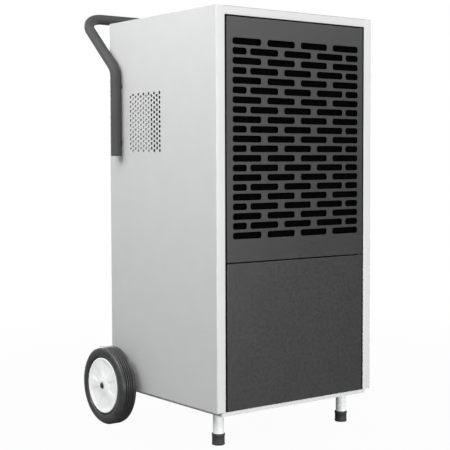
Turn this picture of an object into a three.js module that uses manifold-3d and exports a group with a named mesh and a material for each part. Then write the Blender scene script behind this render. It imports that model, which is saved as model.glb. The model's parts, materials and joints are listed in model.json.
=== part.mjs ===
// A commercial dehumidifier: a sheet-steel cabinet on two front legs and two rear wheels, with a bent-tube
// push handle, a filter door, a pull-out water tank, and the refrigerant circuit and fan inside.
//
// Millimetres, +Z up, the front faces -Y. Each piece is drawn in the cabinet's own frame: x from the middle,
// y from the front face backwards, z from the floor. The last group moves the whole onto its origin.
import * as THREE from "three";
import { mergeVertices } from "three/addons/utils/BufferGeometryUtils.js";
import Module from "manifold-3d";

const wasm = await Module();
wasm.setup();

// ---------------------------------------------------------------- driving dimensions
const GAP = 0.3; // between pieces that touch
const SHEET = 1.5;
const FOLD = 3; // outer radius of the cabinet's vertical folds

const WIDTH = 480;
const DEPTH = 455;
const BASE = 88; // underside of the side panels
const TOP = BASE + 920;
const HALF = WIDTH / 2;

const STILE = 25;
const RAIL = 20;
const LIP = 30; // depth of the stiles' inner return
const OPENING = HALF - STILE; // half the width of the front opening

const PANEL_GAP = 3;
const PANEL_DEPTH = 18;
const PANEL_FLANGE = 10;
const PANEL_HALF = OPENING - PANEL_GAP;
const SEAM = BASE + 339.5; // between the door and the tank front
const SEAM_HALF = 2.5;
const DOOR = { bottom: SEAM + SEAM_HALF, top: TOP - RAIL - PANEL_GAP };
const DRAWER = { bottom: BASE + 1.5, top: SEAM - SEAM_HALF };

const SLOT = { long: 83.5, short: 41, height: 15.5, pitchX: 101.5, pitchZ: 22.05 };
const GRILLE = { rows: 21, top: BASE + 842.5, half: 194 };
const OUTLET = { rows: 12, columns: 2, length: 130, height: 10, pitchX: 150, pitchZ: 22 };
const VENT = { columns: 12, rows: 13, pitchY: 11.7, pitchZ: 11.5, y: 227, z: BASE + 598, hole: 7 };

const PAN = { inset: 14, front: 2, floor: BASE - 0.5, bottom: BASE - 9.5 };
const HINGE = { x: PANEL_HALF - 6, y: 5, pin: 2.5 };
const CATCH = { z: (DOOR.bottom + DOOR.top) / 2, height: 40, depth: 15.7, width: 11.5 };

const LEG = { x: HALF - 46, y: 58, radius: 12.7, wall: 1.5, sole: 4, plate: 25 };
const FOOT = { radius: 15.5, height: 27 };

const WHEEL = { radius: 98, rim: 72, width: 46, gap: 18, y: 400, z: 98 };
const AXLE = { radius: 6, shoulder: 9, blockDepth: 40, blockTop: 116, inner: HALF - 40 };
const NOTCH = 15; // width of the slot in each side panel that drops over the axle

const HANDLE = {
  radius: 13, wall: 1.5, x: HALF + 15.5, y: 400.4, bottom: BASE + 588.5,
  bendZ: BASE + 800.4, gripY: 562.2, gripZ: BASE + 945.4, lowBend: 43.6, gripBend: 57.7,
};
const HANDLE_BOLTS = [HANDLE.bottom + 30, HANDLE.bendZ - 40];
const BOLT = { shank: 3, head: 6, headHeight: 4 };

const SHELF = { z: 438, front: 42, drop: 23 };
const TRAY = { half: 206, front: 50, back: 192, top: 462, spout: 10, spoutY: 120 };
const COIL = { half: 200, bottom: 442.3, top: 940, depth: 50, pitch: 16, fin: 1 };
const EVAPORATOR_Y = 62;
const CONDENSER_Y = 132;

const FAN = { x: 30, z: 700, ring: 138, tip: 132, hub: 36, front: 208, back: 240, plate: 200, blades: 5 };
const MOTOR = { radius: 45, front: 248.3, back: 320, shaft: 4 };
const BOX = { outer: 213, inner: 143, front: 295, bottom: 640, top: BASE + 735 };

const COMPRESSOR = { x: 40, y: 365, radius: 60, foot: 96, top: 330, ear: 72, earRadius: 12 };
const ACCUMULATOR = { x: -56, radius: 27, bottom: 190, top: 330 };

const TANK = { half: 205, front: 20, back: 270, bottom: 98.5, top: 395, wall: 3 };
const FLOAT = { x: 100, y: 250, z: 366, pin: 2.5, arm: 70, droop: 25, lug: 16 };

const BEZEL = { half: 100, front: 40, back: 120, top: TOP + 3.3, plate: 3, skirt: 12 };
const BUTTON = { radius: 7, y: 98, proud: 1.2, flange: 8.5 };
const BUTTON_X = { power_button: -66, mode_button: -22, down_button: 22, up_button: 66 };
const WINDOW = { half: 40, front: 52, back: 78 };

const OVERALL_DEPTH = HANDLE.gripY + HANDLE.radius;

// ---------------------------------------------------------------- materials
const material = (color, roughness, metalness) =>
  new THREE.MeshStandardMaterial({ color, roughness, metalness });
const WHITE_PAINT = material(0xe4e5e6, 0.5, 0);
const ANTHRACITE = material(0x4c4e51, 0.55, 0);
const DARK_TUBE = material(0x5c5e61, 0.5, 0);
const BRIGHT_STEEL = material(0xd2d3d4, 0.35, 1);
const GALVANISED = material(0xb9bdc0, 0.45, 1);
const ALUMINIUM = material(0xc3c6c9, 0.4, 1);
const COPPER = material(0xb87347, 0.35, 1);
const BLACK_PAINT = material(0x1c1d1f, 0.45, 0.2);
const RUBBER = material(0x303133, 0.8, 0);
const TYRE = material(0x2a2a2b, 0.75, 0);
const WHITE_PLASTIC = material(0xf4f4f3, 0.4, 0);
const BLACK_PLASTIC = material(0x202224, 0.5, 0);
const CLEAR_DARK = material(0x101418, 0.1, 0);
const TANK_PLASTIC = material(0xd9dde0, 0.45, 0);

// ---------------------------------------------------------------- outlines, as lists of [u, v]
const rectangle = (u0, v0, u1, v1) => [[u0, v0], [u1, v0], [u1, v1], [u0, v1]];

function chamfered(u0, v0, u1, v1, cut) {
  return [
    [u0 + cut, v0], [u1 - cut, v0], [u1, v0 + cut], [u1, v1 - cut],
    [u1 - cut, v1], [u0 + cut, v1], [u0, v1 - cut], [u0, v0 + cut],
  ];
}

function arc(u, v, radius, startDegrees, endDegrees, steps) {
  return Array.from({ length: steps + 1 }, (_, i) => {
    const angle = THREE.MathUtils.degToRad(startDegrees + ((endDegrees - startDegrees) * i) / steps);
    return [u + radius * Math.cos(angle), v + radius * Math.sin(angle)];
  });
}

const circle = (u, v, radius, sides) => arc(u, v, radius, 0, 360 - 360 / sides, sides - 1);

/** The section of a folded sheet: its outer face as a line, and the inner face to the right of it. */
function foldedSheet(line, thickness) {
  const points = line.map(([u, v]) => new THREE.Vector2(u, v));
  const inner = points.map((point, i) => {
    const before = points[Math.max(i - 1, 0)];
    const after = points[Math.min(i + 1, points.length - 1)];
    const into = (i ? point.clone().sub(before) : after.clone().sub(point)).normalize();
    const out = (i < points.length - 1 ? after.clone().sub(point) : into.clone()).normalize();
    const side = new THREE.Vector2(into.y + out.y, -into.x - out.x).normalize();
    const reach = thickness / (side.x * into.y - side.y * into.x);
    return point.clone().addScaledVector(side, reach);
  });
  return [...points, ...inner.reverse()].map(({ x, y }) => [x, y]);
}

// ---------------------------------------------------------------- solids
const X = new THREE.Vector3(1, 0, 0);
const Y = new THREE.Vector3(0, 1, 0);
const Z = new THREE.Vector3(0, 0, 1);

function box(x0, x1, y0, y1, z0, z1) {
  const geometry = new THREE.BoxGeometry(x1 - x0, y1 - y0, z1 - z0);
  return geometry.translate((x0 + x1) / 2, (y0 + y1) / 2, (z0 + z1) / 2);
}

const toShape = (outline) => new THREE.Shape(outline.map(([u, v]) => new THREE.Vector2(u, v)));

/** Outlines of (y, z), (x, z) or (x, y) extruded along x, y or z. */
function prism(axis, from, to, ...outlines) {
  const geometry = new THREE.ExtrudeGeometry(outlines.map(toShape), {
    depth: to - from,
    bevelEnabled: false,
  });
  if (axis === "x") {
    return geometry.applyMatrix4(new THREE.Matrix4().makeBasis(Y, Z, X)).translate(from, 0, 0);
  }
  if (axis === "y") {
    return geometry.rotateX(Math.PI / 2).translate(0, to, 0);
  }
  return geometry.translate(0, 0, from);
}

/** A profile of [radius, height] turned round the line through centre along the axis. */
function turned(axis, centre, profile, sides) {
  const points = profile.map(([radius, height]) => new THREE.Vector2(radius, height));
  const geometry = new THREE.LatheGeometry(points, sides);
  if (axis === "x") geometry.rotateZ(-Math.PI / 2);
  if (axis === "z") geometry.rotateX(Math.PI / 2);
  return geometry.translate(...centre);
}

/** A plain rod of the given radius between two heights on an axis. */
function rod(axis, centre, radius, from, to, sides = 16) {
  return turned(axis, centre, [[0, from], [radius, from], [radius, to], [0, to]], sides);
}

/** The centre line of a bent pipe: straight runs joined by arcs, with a station only where it turns. */
class BentLine extends THREE.Curve {
  constructor(corners, bends, steps) {
    super();
    const points = corners.map((corner) => new THREE.Vector3(...corner));
    const last = points.length - 1;
    this.stations = [{ point: points[0], tangent: points[1].clone().sub(points[0]).normalize() }];
    for (let i = 1; i < last; i++) {
      this.bend(points[i - 1], points[i], points[i + 1], bends[i - 1] ?? bends[0], steps);
    }
    this.stations.push({
      point: points[last],
      tangent: points[last].clone().sub(points[last - 1]).normalize(),
    });
  }

  bend(before, corner, after, radius, steps) {
    const into = corner.clone().sub(before).normalize();
    const out = after.clone().sub(corner).normalize();
    const turn = into.angleTo(out);
    const start = corner.clone().addScaledVector(into, -radius * Math.tan(turn / 2));
    const inward = out.clone().addScaledVector(into, -out.dot(into)).normalize();
    for (let i = 0; i <= steps; i++) {
      const angle = (turn * i) / steps;
      const point = start.clone()
        .addScaledVector(into, radius * Math.sin(angle))
        .addScaledVector(inward, radius * (1 - Math.cos(angle)));
      const tangent = into.clone().multiplyScalar(Math.cos(angle))
        .addScaledVector(inward, Math.sin(angle));
      this.stations.push({ point, tangent });
    }
  }

  getPoint(t, target = new THREE.Vector3()) {
    const at = t * (this.stations.length - 1);
    const i = Math.min(Math.floor(at), this.stations.length - 2);
    return target.lerpVectors(this.stations[i].point, this.stations[i + 1].point, at - i);
  }

  getPointAt(u, target) {
    return this.getPoint(u, target);
  }

  getTangentAt(u, target = new THREE.Vector3()) {
    return target.copy(this.stations[Math.round(u * (this.stations.length - 1))].tangent);
  }
}

/** A pipe along a bent line. With a bore it is hollow and open at both ends. */
function pipe(corners, bends, radius, { sides = 8, steps = 4, bore = 0, boreSides = 6 } = {}) {
  const line = new BentLine(corners, bends, steps);
  const section = toShape(circle(0, 0, radius, sides));
  if (bore) section.holes.push(toShape(circle(0, 0, bore, boreSides)));
  return new THREE.ExtrudeGeometry(section, { steps: line.stations.length - 1, extrudePath: line });
}

function toSolid(geometry) {
  const bare = geometry.index ? geometry.toNonIndexed() : geometry.clone();
  bare.deleteAttribute("normal");
  bare.deleteAttribute("uv");
  const merged = mergeVertices(bare, 1e-3);
  return new wasm.Manifold(
    new wasm.Mesh({
      numProp: 3,
      vertProperties: merged.attributes.position.array,
      triVerts: new Uint32Array(merged.index.array),
    }),
  );
}

function toGeometry(solid) {
  const { vertProperties, triVerts } = solid.getMesh();
  const geometry = new THREE.BufferGeometry();
  geometry.setAttribute("position", new THREE.BufferAttribute(vertProperties, 3));
  geometry.setIndex(new THREE.BufferAttribute(triVerts, 1));
  geometry.computeVertexNormals();
  return geometry;
}

function join(first, ...others) {
  return toGeometry(others.reduce((solid, other) => solid.add(toSolid(other)), toSolid(first)));
}

function cut(first, ...tools) {
  return toGeometry(tools.reduce((solid, tool) => solid.subtract(toSolid(tool)), toSolid(first)));
}

// ---------------------------------------------------------------- the tree
const cabinet = new THREE.Group();
cabinet.position.y = -OVERALL_DEPTH / 2;

function addPart(name, geometry, partMaterial, place = [0, 0, 0]) {
  const mesh = new THREE.Mesh(geometry, partMaterial);
  mesh.name = name;
  mesh.position.set(...place);
  cabinet.add(mesh);
}

/** Calls make with "left" and -1, then with "right" and 1. Left is the viewer's left, at -X. */
function onBothSides(make) {
  make("left", -1);
  make("right", 1);
}

const ordered = (a, b) => [Math.min(a, b), Math.max(a, b)];

// ---------------------------------------------------------------- cabinet
function sidePanelSection(side) {
  const front = arc(FOLD - HALF, FOLD, FOLD, -90, -180, 3);
  const rear = arc(FOLD - HALF, DEPTH - FOLD, FOLD, 180, 90, 3);
  const line = [[-OPENING, LIP], [-OPENING, 0], ...front, ...rear, [-OPENING, DEPTH]];
  return foldedSheet(line, SHEET).map(([x, y]) => [-side * x, y]);
}

function ventHoles() {
  const holes = [];
  for (let column = 0; column < VENT.columns; column++) {
    const offset = column % 2;
    for (let row = 0; row < VENT.rows - offset; row++) {
      const y = VENT.y + column * VENT.pitchY;
      const z = VENT.z + (row + offset / 2) * VENT.pitchZ;
      holes.push(circle(y, z, VENT.hole / 2, 4));
    }
  }
  return holes;
}

function sidePanel(side) {
  const [from, to] = ordered(side * (HALF - 10), side * (HALF + 10));
  const notch = box(from, to, WHEEL.y - NOTCH / 2, WHEEL.y + NOTCH / 2, 0, WHEEL.z + NOTCH / 2);
  const bolts = HANDLE_BOLTS.map((z) =>
    rod("x", [0, HANDLE.y, z], BOLT.shank + 0.4, from, to, 12));
  const panel = prism("z", BASE, TOP - SHEET - GAP, sidePanelSection(side));
  return cut(panel, notch, ...bolts);
}

function leftSidePanel() {
  return cut(sidePanel(-1), prism("x", -HALF - 10, 10 - HALF, ...ventHoles()));
}

function topPanel() {
  const inner = OPENING - GAP;
  const deck = prism("z", TOP - SHEET, TOP, chamfered(-HALF, 0, HALF, DEPTH, 1.5));
  const rail = prism("x", -inner, inner,
    foldedSheet([[PANEL_DEPTH, TOP - RAIL], [0, TOP - RAIL], [0, TOP - 0.5]], SHEET));
  const pinHole = rod("z", [HINGE.x, HINGE.y, 0], HINGE.pin + GAP, TOP - RAIL - 5, TOP - RAIL + 5, 12);
  const window = box(-BEZEL.half + 8, BEZEL.half - 8, BEZEL.front + 6, BEZEL.back - 6, TOP - 10, TOP + 10);
  return cut(join(deck, rail), pinHole, window);
}

function outletSlots() {
  const slots = [];
  const z0 = FAN.z - ((OUTLET.rows - 1) / 2) * OUTLET.pitchZ;
  const x0 = FAN.x - ((OUTLET.columns - 1) / 2) * OUTLET.pitchX;
  for (let row = 0; row < OUTLET.rows; row++) {
    for (let column = 0; column < OUTLET.columns; column++) {
      slots.push(slot(x0 + column * OUTLET.pitchX, z0 + row * OUTLET.pitchZ, OUTLET.length, OUTLET.height));
    }
  }
  return slots;
}

const GLAND = { x: -180, z: 140, radius: 8, collar: 11 };
const DRAIN = { x: 150, z: 130, radius: 7, collar: 11, bore: 4.5 };

function rearPanel() {
  const inner = OPENING - GAP;
  const plate = box(-inner, inner, DEPTH - SHEET, DEPTH, BASE, TOP - SHEET - GAP);
  const holes = [
    circle(GLAND.x, GLAND.z, GLAND.radius + GAP, 12),
    circle(DRAIN.x, DRAIN.z, DRAIN.radius + GAP, 12),
  ];
  return cut(plate, prism("y", DEPTH - 10, DEPTH + 10, ...outletSlots(), ...holes));
}

/** A cable gland with its hole open right through. */
function powerGland() {
  const { radius, collar } = GLAND;
  return turned("y", [GLAND.x, DEPTH, GLAND.z], [
    [4, -12], [radius, -12], [radius, GAP], [collar, GAP], [collar, 9], [7, 14], [4, 14], [4, -12],
  ], 12);
}

function drainPort() {
  const { radius, collar, bore } = DRAIN;
  return turned("y", [DRAIN.x, DEPTH, DRAIN.z], [
    [bore, -14], [radius, -14], [radius, GAP], [collar, GAP], [collar, 5], [6, 5], [6, 14], [7, 15],
    [6, 25], [bore, 25], [bore, -14],
  ], 12);
}

function basePan() {
  const half = HALF - PAN.inset;
  const back = DEPTH - PAN.front;
  const outer = box(-half, half, PAN.front, back, PAN.bottom, PAN.floor);
  const hollow = box(-half + SHEET, half - SHEET, PAN.front + SHEET, back - SHEET,
    PAN.bottom - 5, PAN.floor - SHEET);
  return cut(outer, hollow);
}

addPart("base_pan", basePan(), WHITE_PAINT);
addPart("left_side_panel", leftSidePanel(), WHITE_PAINT);
addPart("right_side_panel", sidePanel(1), WHITE_PAINT);
addPart("top_panel", topPanel(), WHITE_PAINT);
addPart("rear_panel", rearPanel(), WHITE_PAINT);
addPart("power_gland", powerGland(), BLACK_PLASTIC);
addPart("drain_port", drainPort(), BLACK_PLASTIC);

// ---------------------------------------------------------------- front panels
function slot(x, z, length, height) {
  return rectangle(x - length / 2, z - height / 2, x + length / 2, z + height / 2);
}

/** Rows of four long slots alternate with rows of three, which end in a short slot at each side. */
function grilleSlots() {
  const slots = [];
  for (let row = 0; row < GRILLE.rows; row++) {
    const z = GRILLE.top - row * SLOT.pitchZ;
    const count = row % 2 ? 3 : 4;
    for (let i = 0; i < count; i++) {
      slots.push(slot((i - (count - 1) / 2) * SLOT.pitchX, z, SLOT.long, SLOT.height));
    }
    if (row % 2) {
      const x = GRILLE.half - SLOT.short / 2;
      slots.push(slot(-x, z, SLOT.short, SLOT.height), slot(x, z, SLOT.short, SLOT.height));
    }
  }
  return slots;
}

/** A front panel: a shallow tray with its edges folded back and a narrow flange behind. */
function frontPanel({ bottom, top }) {
  const outer = box(-PANEL_HALF, PANEL_HALF, 0, PANEL_DEPTH, bottom, top);
  const inner = PANEL_HALF - SHEET;
  const hollow = box(-inner, inner, SHEET, PANEL_DEPTH - SHEET, bottom + SHEET, top - SHEET);
  const rear = PANEL_HALF - PANEL_FLANGE;
  const opening = box(-rear, rear, SHEET * 2, PANEL_DEPTH + 5, bottom + PANEL_FLANGE, top - PANEL_FLANGE);
  return cut(outer, hollow, opening);
}

function grilleDoor() {
  const pinHoles = rod("z", [HINGE.x, HINGE.y, 0], HINGE.pin + GAP, DOOR.bottom - 5, DOOR.top + 5, 12);
  return cut(frontPanel(DOOR), prism("y", -5, SHEET * 2, ...grilleSlots()), pinHoles);
}

const FILTER = { front: 4, back: 14, frame: 12, pocket: 4 };

/** The filter cassette: a moulded frame with the filter sheet across its middle. */
function airFilter() {
  const half = PANEL_HALF - PANEL_FLANGE - 2;
  const bottom = DOOR.bottom + PANEL_FLANGE + 2;
  const top = DOOR.top - PANEL_FLANGE - 2;
  const { front, back, frame, pocket } = FILTER;
  const cassette = box(-half, half, front, back, bottom, top);
  const pockets = [[front - 1, front + pocket], [back - pocket, back + 1]].map(([y0, y1]) =>
    box(-half + frame, half - frame, y0, y1, bottom + frame, top - frame));
  return cut(cassette, ...pockets);
}

/** The pin hangs in the top rail's fold, with its head above. */
function upperHingePin() {
  const fold = TOP - RAIL + SHEET;
  return turned("z", [HINGE.x, HINGE.y, 0], [
    [0, DOOR.top - 6], [HINGE.pin, DOOR.top - 6], [HINGE.pin, fold + GAP],
    [HINGE.pin + 0.7, fold + GAP], [HINGE.pin + 0.7, fold + 3], [0, fold + 3],
  ], 12);
}

/** A tab from the right stile into the seam, with the lower pin standing on it. */
function lowerHingeBracket() {
  const tab = box(HINGE.x - 8, OPENING - GAP, 1.5, 12, SEAM - 1, SEAM + 1);
  return join(tab, rod("z", [HINGE.x, HINGE.y, 0], HINGE.pin, SEAM, DOOR.bottom + 6, 12));
}

function doorCatch() {
  const outer = OPENING - GAP;
  const front = PANEL_DEPTH + GAP;
  return box(-outer, -outer + CATCH.width, front, front + CATCH.depth,
    CATCH.z - CATCH.height / 2, CATCH.z + CATCH.height / 2);
}

addPart("grille_door", grilleDoor(), ANTHRACITE);
addPart("air_filter", airFilter(), BLACK_PLASTIC);
addPart("upper_hinge_pin", upperHingePin(), BRIGHT_STEEL);
addPart("lower_hinge_bracket", lowerHingeBracket(), BRIGHT_STEEL);
addPart("door_catch", doorCatch(), BLACK_PLASTIC);
addPart("tank_front", frontPanel(DRAWER), ANTHRACITE);

// ---------------------------------------------------------------- water tank
function waterTank() {
  const { half, front, back, bottom, top, wall } = TANK;
  const outer = box(-half, half, front, back, bottom, top);
  const hollow = box(-half + wall, half - wall, front + wall, back - wall, bottom + wall, top + 5);
  const lugs = [-1, 1].map((end) => {
    const [x0, x1] = ordered(FLOAT.x + end * 25, FLOAT.x + end * 30);
    return box(x0, x1, FLOAT.y - FLOAT.lug / 2, back - 1, FLOAT.z - FLOAT.lug / 2, FLOAT.z + FLOAT.lug / 2);
  });
  const pinHole = rod("x", [0, FLOAT.y, FLOAT.z], FLOAT.pin + GAP, FLOAT.x - 40, FLOAT.x + 40, 12);
  return cut(join(cut(outer, hollow), ...lugs), pinHole);
}

/** The float: two trunnions, an arm and a block, hanging at the droop angle of an empty tank. */
function tankFloat() {
  const trunnions = rod("x", [FLOAT.x, 0, 0], FLOAT.pin, -32, 32, 12);
  const knuckle = rod("x", [FLOAT.x, 0, 0], 6, -20, 20, 12);
  const arm = box(FLOAT.x - 10, FLOAT.x + 10, -FLOAT.arm, 0, -2, 2);
  const block = box(FLOAT.x - 30, FLOAT.x + 30, -FLOAT.arm - 45, -FLOAT.arm, -12, 12);
  return join(trunnions, knuckle, arm, block).rotateX(THREE.MathUtils.degToRad(FLOAT.droop));
}

function tankRail(side) {
  const web = TANK.half + 7;
  const ledge = TANK.bottom - GAP - SHEET;
  const section = foldedSheet([[web, 125], [web, ledge], [web - 25, ledge]], SHEET);
  const outline = section.map(([x, z]) => [side * x, z]);
  const foot = box(...ordered(side * web, side * (web - SHEET)), 45, 275, PAN.floor + GAP, 110);
  return join(prism("y", 45, 275, outline), foot);
}

addPart("water_tank", waterTank(), TANK_PLASTIC);
addPart("tank_float", tankFloat(), WHITE_PLASTIC, [0, FLOAT.y, FLOAT.z]);
onBothSides((name, side) => addPart(`${name}_tank_rail`, tankRail(side), GALVANISED));

// ---------------------------------------------------------------- legs, wheels and handle
function leg(side) {
  const { y, radius, wall, sole, plate } = LEG;
  const x = side * LEG.x;
  const top = PAN.floor - SHEET - GAP;
  const tube = turned("z", [x, y, 0], [
    [radius - wall, sole + GAP], [radius, sole + GAP], [radius, top - 1],
    [radius - wall, top - 1], [radius - wall, sole + GAP],
  ], 16);
  return join(tube, box(x - plate, x + plate, y - plate, y + plate, top - 2.5, top));
}

function foot(side) {
  const well = LEG.radius + GAP;
  return turned("z", [side * LEG.x, LEG.y, 0], [
    [0, 0], [FOOT.radius, 0], [FOOT.radius, FOOT.height],
    [well, FOOT.height], [well, LEG.sole], [0, LEG.sole],
  ], 16);
}

/** A wheel profile is turned with its height running outwards from the wheel's inner face. */
function wheelPiece(side, profile, sides) {
  const geometry = turned("x", [0, 0, 0], profile, sides);
  if (side < 0) geometry.rotateZ(Math.PI);
  return geometry.translate(side * (HALF + WHEEL.gap), WHEEL.y, WHEEL.z);
}

function tyre(side) {
  const { radius, rim, width } = WHEEL;
  const inner = rim + GAP;
  return wheelPiece(side, [
    [inner, 3], [86, 0], [radius, 8], [radius, width - 8], [86, width], [inner, width - 3], [inner, 3],
  ], 40);
}

function rim(side) {
  const { width } = WHEEL;
  const bore = AXLE.radius + GAP;
  return wheelPiece(side, [
    [bore, -4], [18, -4], [18, 27], [66, 27], [66, 5], [WHEEL.rim, 5], [WHEEL.rim, width - 5],
    [66, width - 3], [61, 36], [24, 36], [19, width - 1], [bore, width - 1], [bore, -4],
  ], 24);
}

function wheelCap(side) {
  return wheelPiece(side, [
    [0, WHEEL.width - 1 + GAP], [7, WHEEL.width - 1 + GAP], [5, WHEEL.width + 2], [0, WHEEL.width + 2],
  ], 12);
}

/** A cast block on the base pan with the stub axle fixed in it. */
function axleBracket(side) {
  const { radius, shoulder, blockDepth, blockTop, inner } = AXLE;
  const block = box(...ordered(side * inner, side * (HALF - SHEET - 2 * GAP)),
    WHEEL.y - blockDepth / 2, WHEEL.y + blockDepth / 2, PAN.floor + GAP, blockTop);
  const stub = wheelPiece(side, [
    [0, -WHEEL.gap - 20], [radius, -WHEEL.gap - 20], [radius, -WHEEL.gap + GAP],
    [shoulder, -WHEEL.gap + GAP], [shoulder, -4 - GAP], [radius, -4 - GAP],
    [radius, WHEEL.width - 1], [0, WHEEL.width - 1],
  ], 12);
  return join(block, stub);
}

function handleTube() {
  const { x, y, bottom, bendZ, gripY, gripZ, lowBend, gripBend, radius, wall } = HANDLE;
  const corners = [
    [-x, y, bottom], [-x, y, bendZ], [-x, gripY, gripZ], [x, gripY, gripZ], [x, y, bendZ], [x, y, bottom],
  ];
  const tube = pipe(corners, [lowBend, gripBend, gripBend, lowBend], radius,
    { sides: 12, steps: 5, bore: radius - wall, boreSides: 6 });
  const bosses = [];
  const bores = [];
  for (const side of [-1, 1]) {
    for (const z of HANDLE_BOLTS) {
      const boss = ordered(side * (HALF + GAP), side * (x - radius + 1));
      const bore = ordered(side * HALF, side * (x - radius + 4));
      bosses.push(rod("x", [0, y, z], 7, ...boss));
      bores.push(rod("x", [0, y, z], BOLT.shank + GAP, ...bore, 12));
    }
  }
  return cut(join(tube, ...bosses), ...bores);
}

function handleCap(side) {
  const { x, y, bottom, radius, wall } = HANDLE;
  const plug = (radius - wall) * Math.cos(Math.PI / 6) - GAP;
  return turned("z", [side * x, y, bottom], [
    [0, -2.5], [radius, -2.5], [radius, -GAP], [plug, -GAP], [plug, 9], [0, 9],
  ], 12);
}

function handleBolt(side, z) {
  const wall = HALF - SHEET - GAP;
  const tip = HANDLE.x - HANDLE.radius + 5;
  const middle = [0, HANDLE.y, z];
  const head = rod("x", middle, BOLT.head, ...ordered(side * (wall - BOLT.headHeight), side * wall), 6);
  return join(head, rod("x", middle, BOLT.shank, ...ordered(side * (wall - 1), side * tip), 12));
}

onBothSides((name, side) => {
  addPart(`${name}_leg`, leg(side), BRIGHT_STEEL);
  addPart(`${name}_foot`, foot(side), RUBBER);
  addPart(`${name}_tyre`, tyre(side), TYRE);
  addPart(`${name}_rim`, rim(side), WHITE_PLASTIC);
  addPart(`${name}_wheel_cap`, wheelCap(side), BLACK_PLASTIC);
  addPart(`${name}_axle_bracket`, axleBracket(side), BRIGHT_STEEL);
  addPart(`${name}_handle_cap`, handleCap(side), BLACK_PLASTIC);
  HANDLE_BOLTS.forEach((z, i) =>
    addPart(`${name}_handle_bolt_${i + 1}`, handleBolt(side, z), BRIGHT_STEEL));
});
addPart("handle_tube", handleTube(), DARK_TUBE);

// ---------------------------------------------------------------- coils, tray and shelf
const DISCHARGE = { x: 224, y: CONDENSER_Y + COIL.depth / 2, radius: 5, top: 880, low: 415 };
const SUCTION = { x: -219, y: EVAPORATOR_Y + COIL.depth / 2, radius: 6, top: 520, low: 415 };
const LIQUID = { x: -222, y: CONDENSER_Y + COIL.depth / 2, bottom: 500, dryer: 560, top: 660, high: 900 };

function midShelf() {
  const half = HALF - FOLD;
  const { z, front, drop } = SHELF;
  const line = [[DEPTH - SHEET - GAP, z + SHEET], [front, z + SHEET], [front, z - drop]];
  const section = foldedSheet(line, -SHEET);
  const holes = [
    circle(DISCHARGE.x, DISCHARGE.y, DISCHARGE.radius + 3, 12),
    circle(SUCTION.x, SUCTION.y, SUCTION.radius + 3, 12),
    circle(0, TRAY.spoutY, TRAY.spout + 3, 12),
  ];
  return cut(prism("x", -half, half, section), prism("z", z - 5, z + 5, ...holes));
}

function dripTray() {
  const { half, front, back, top, spout, spoutY } = TRAY;
  const wall = 2;
  const floor = SHELF.z + SHEET + GAP;
  const outer = box(-half, half, front, back, floor, top);
  const hollow = box(-half + wall, half - wall, front + wall, back - wall, floor + wall, top + 5);
  const neck = rod("z", [0, spoutY, 0], spout, TANK.top + 8, floor + wall);
  const bore = rod("z", [0, spoutY, 0], spout - wall, TANK.top, floor + wall + 5);
  return cut(join(cut(outer, hollow), neck), bore);
}

/** A finned coil as one pleated sheet between its two end plates. */
function coil(front) {
  const { half, bottom, top, depth, pitch, fin } = COIL;
  const pleats = Math.round((2 * half) / pitch);
  const turns = [front + fin, front + depth];
  const line = [[1 - half, turns[0]]];
  for (let i = 0; i < pleats; i++) {
    const x = -half + (i + 0.5) * pitch;
    line.push([x, turns[i % 2]], [x, turns[(i + 1) % 2]]);
  }
  line.push([half - 1, turns[pleats % 2]]);
  const plates = [-1, 1].map((side) =>
    box(...ordered(side * half, side * (half - 2)), front, front + depth, bottom, top));
  return join(prism("z", bottom, top, foldedSheet(line, fin)), ...plates);
}

addPart("mid_shelf", midShelf(), GALVANISED);
addPart("drip_tray", dripTray(), BLACK_PLASTIC);
addPart("evaporator", coil(EVAPORATOR_Y), ALUMINIUM);
addPart("condenser", coil(CONDENSER_Y), ALUMINIUM);

// ---------------------------------------------------------------- refrigerant circuit
function compressor() {
  const { x, y, radius, foot: sole, top, ear, earRadius } = COMPRESSOR;
  const shell = turned("z", [x, y, 0], [
    [0, sole + 2], [radius - 4, sole + 2], [radius, sole + 10], [radius, top - 40], [radius - 5, top - 20],
    [radius - 25, top - 5], [0, top],
  ], 20);
  const plate = [0, 1, 2].flatMap((i) => {
    const angle = 90 + 120 * i;
    const turn = THREE.MathUtils.degToRad(angle);
    return arc(x + ear * Math.cos(turn), y + ear * Math.sin(turn), earRadius, angle - 60, angle + 60, 4);
  });
  return join(shell, prism("z", sole, sole + 4, plate));
}

function grommet(index) {
  const { x, y, foot: sole, ear } = COMPRESSOR;
  const turn = THREE.MathUtils.degToRad(90 + 120 * index);
  const bottom = PAN.floor + GAP;
  return turned("z", [x + ear * Math.cos(turn), y + ear * Math.sin(turn), 0], [
    [4, bottom], [10, bottom], [10, sole - GAP], [4, sole - GAP], [4, bottom],
  ], 10);
}

/** The suction accumulator, with its outlet bent into the compressor's side. */
function accumulator() {
  const { x, radius, bottom, top } = ACCUMULATOR;
  const { y } = COMPRESSOR;
  const shell = turned("z", [x, y, 0], [
    [0, bottom], [10, bottom], [radius, bottom + 15], [radius, top - 15], [10, top], [0, top],
  ], 20);
  const shellSide = COMPRESSOR.x - COMPRESSOR.radius - GAP;
  return join(shell, pipe([[x, y, bottom + 5], [x, y, 150], [shellSide, y, 150]], [20], 6));
}

function dischargeLine() {
  const { x, y, radius, top, low } = DISCHARGE;
  return pipe([
    [COMPRESSOR.x, COMPRESSOR.y, COMPRESSOR.top + GAP], [COMPRESSOR.x, COMPRESSOR.y, low],
    [x, COMPRESSOR.y, low], [x, y, low], [x, y, top], [COIL.half + GAP, y, top],
  ], [14], radius);
}

function suctionLine() {
  const { x, y, radius, top, low } = SUCTION;
  return pipe([
    [-COIL.half - GAP, y, top], [x, y, top], [x, y, low], [x, COMPRESSOR.y, low],
    [ACCUMULATOR.x, COMPRESSOR.y, low], [ACCUMULATOR.x, COMPRESSOR.y, ACCUMULATOR.top + GAP],
  ], [14], radius);
}

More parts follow.
